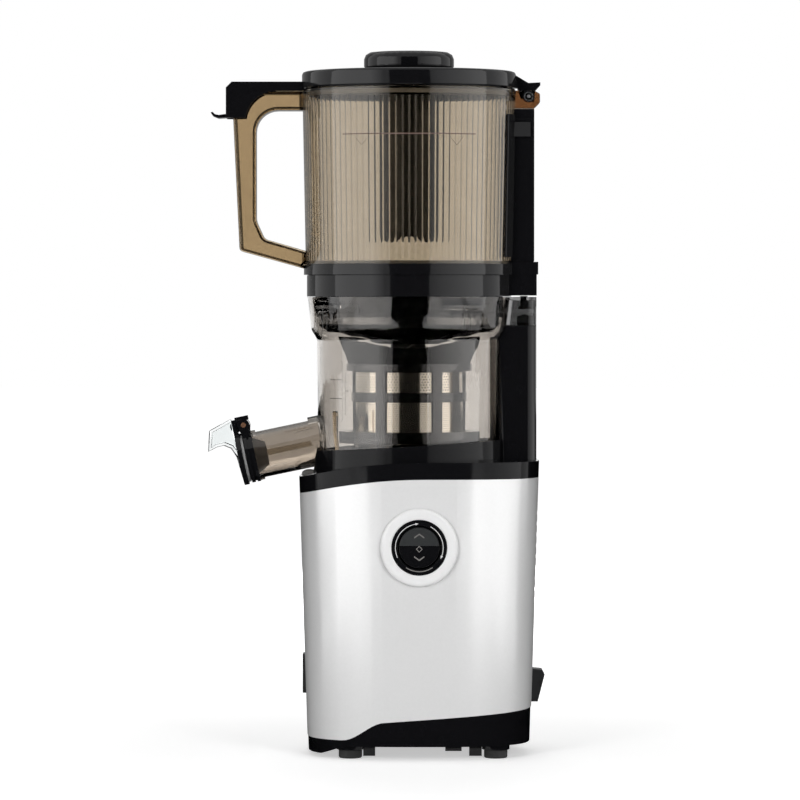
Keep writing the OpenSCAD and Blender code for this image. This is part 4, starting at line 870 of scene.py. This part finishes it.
# ---------------------------------------------------------------- CAD shapes, dressed

# Finishes for the nodes that differ from their slot's own.
TINTS = {"top_collar": "deck_gloss", "control_bezel": "bezel_white", "spout": "spout_clear",
         "pusher_tube": "black_satin", "column_cap": "smoke_dark",
         "hopper_handle": "amber_handle"}
# How wide the edges of each dressed shape are rounded; 0 leaves them as the CAD has them.
ROUNDING = {
    "housing": 0.6, "top_collar": 1.2, "base_cover": 0.5, "control_bezel": 0,
    "control_ring": 0, "rocker": 0.3, "power_switch_body": 0.4, "power_rocker": 0.4,
    "cord_outlet": 0.6, "drum": 0, "spout": 0, "spout_bezel": 0.3, "pulp_chute": 0.5,
    "strainer_frame": 0, "cap_plate": 0.4, "cap_handle": 0.4, "screw": 0,
    "hopper_ring": 0.5, "hopper_spine": 0.8, "latch_lever": 0.4, "pusher_knob": 1.2,
    "pusher_tube": 0.4, "feet": 0.5, "lid": 0.8, "column": 0.5, "column_cap": 0.5,
    "hopper_handle": 2.5,
}
BAY_RADIUS = 22.1
BAY_CENTRE = (-90.5, 0, 433.1)
TALL = 12               # the column's upright edges are taller than this
SIDES_ASIDE = 11        # its side walls lie farther than this from its middle plane
CORNERS_ASIDE = 17.3    # and its corners farther than this
COLUMN_CORNER = 6.5
ACROSS = 10             # the edges across the handle's opening are longer than this
WINDOW_CORNER = 8
CORNER_STEPS = 7
NEARLY_FLAT = math.radians(8)
BENT = math.radians(20)
HANDLE_WALL = 2.4


def bay_in_tongue(bm):
    """Cuts a round bay into the lid's tongue, to follow the handle's bend."""
    bay = placed(rod(BAY_RADIUS, -17, 17, 96), shift(*BAY_CENTRE) @ turn(90, "X"))
    return carved(bm, bay)


def upright_edges(bm, aside):
    """The tall edges that lie farther to either side than a distance."""
    return [e for e in bm.edges if len(e.link_faces) == 2
            and abs(e.verts[0].co.z - e.verts[1].co.z) > TALL * MM
            and all(abs(v.co.y) > aside * MM for v in e.verts)]


def column_corners(bm):
    """Rounds the column's upright corners, once its nearly flat edges are gone."""
    flat = [e for e in upright_edges(bm, SIDES_ASIDE)
            if e.calc_face_angle(0) < NEARLY_FLAT]
    bmesh.ops.dissolve_edges(bm, edges=flat, use_verts=True)
    corners = [e for e in upright_edges(bm, CORNERS_ASIDE)
               if e.calc_face_angle(0) > EASED_ANGLE]
    return bevelled(bm, corners, COLUMN_CORNER, CORNER_STEPS, clamped=False)


def window_corners(bm):
    """Rounds the inner corners of the handle's opening."""
    inner = [e for e in bm.edges if len(e.link_faces) == 2 and not e.is_convex
             and e.calc_face_angle(0) > BENT
             and abs(e.verts[0].co.y - e.verts[1].co.y) > ACROSS * MM]
    return bevelled(bm, inner, WINDOW_CORNER, CORNER_STEPS)


RESHAPED = {"lid": bay_in_tongue, "column": column_corners, "column_cap": column_corners,
            "hopper_handle": window_corners}


def dress(node, width):
    """Shows a merged, smooth copy of a CAD node, its edges rounded by a width."""
    bm = cad_copy(node)
    if node in RESHAPED:
        bm = RESHAPED[node](bm)
    form = add_piece(node + "_form", bm, node, TINTS.get(node), replaces=[node])
    if width:
        bevel = form.modifiers.new("rounding", "BEVEL")
        bevel.width = width * MM
        bevel.segments = 2
        bevel.limit_method = "ANGLE"
        bevel.angle_limit = ROUNDED_ANGLE
    return form


forms = {node: dress(node, width) for node, width in ROUNDING.items()}
hollow = forms["hopper_handle"].modifiers.new("wall", "SOLIDIFY")
hollow.thickness = HANDLE_WALL * MM
hollow.offset = -1

for node, obj in frame["nodes"].items():
    if node not in replaced:
        obj.data.materials.clear()
        obj.data.materials.append(finishes[SLOT[node]])
for piece in pieces:
    even = piece.modifiers.new("even_shading", "WEIGHTED_NORMAL")
    even.keep_sharp = True
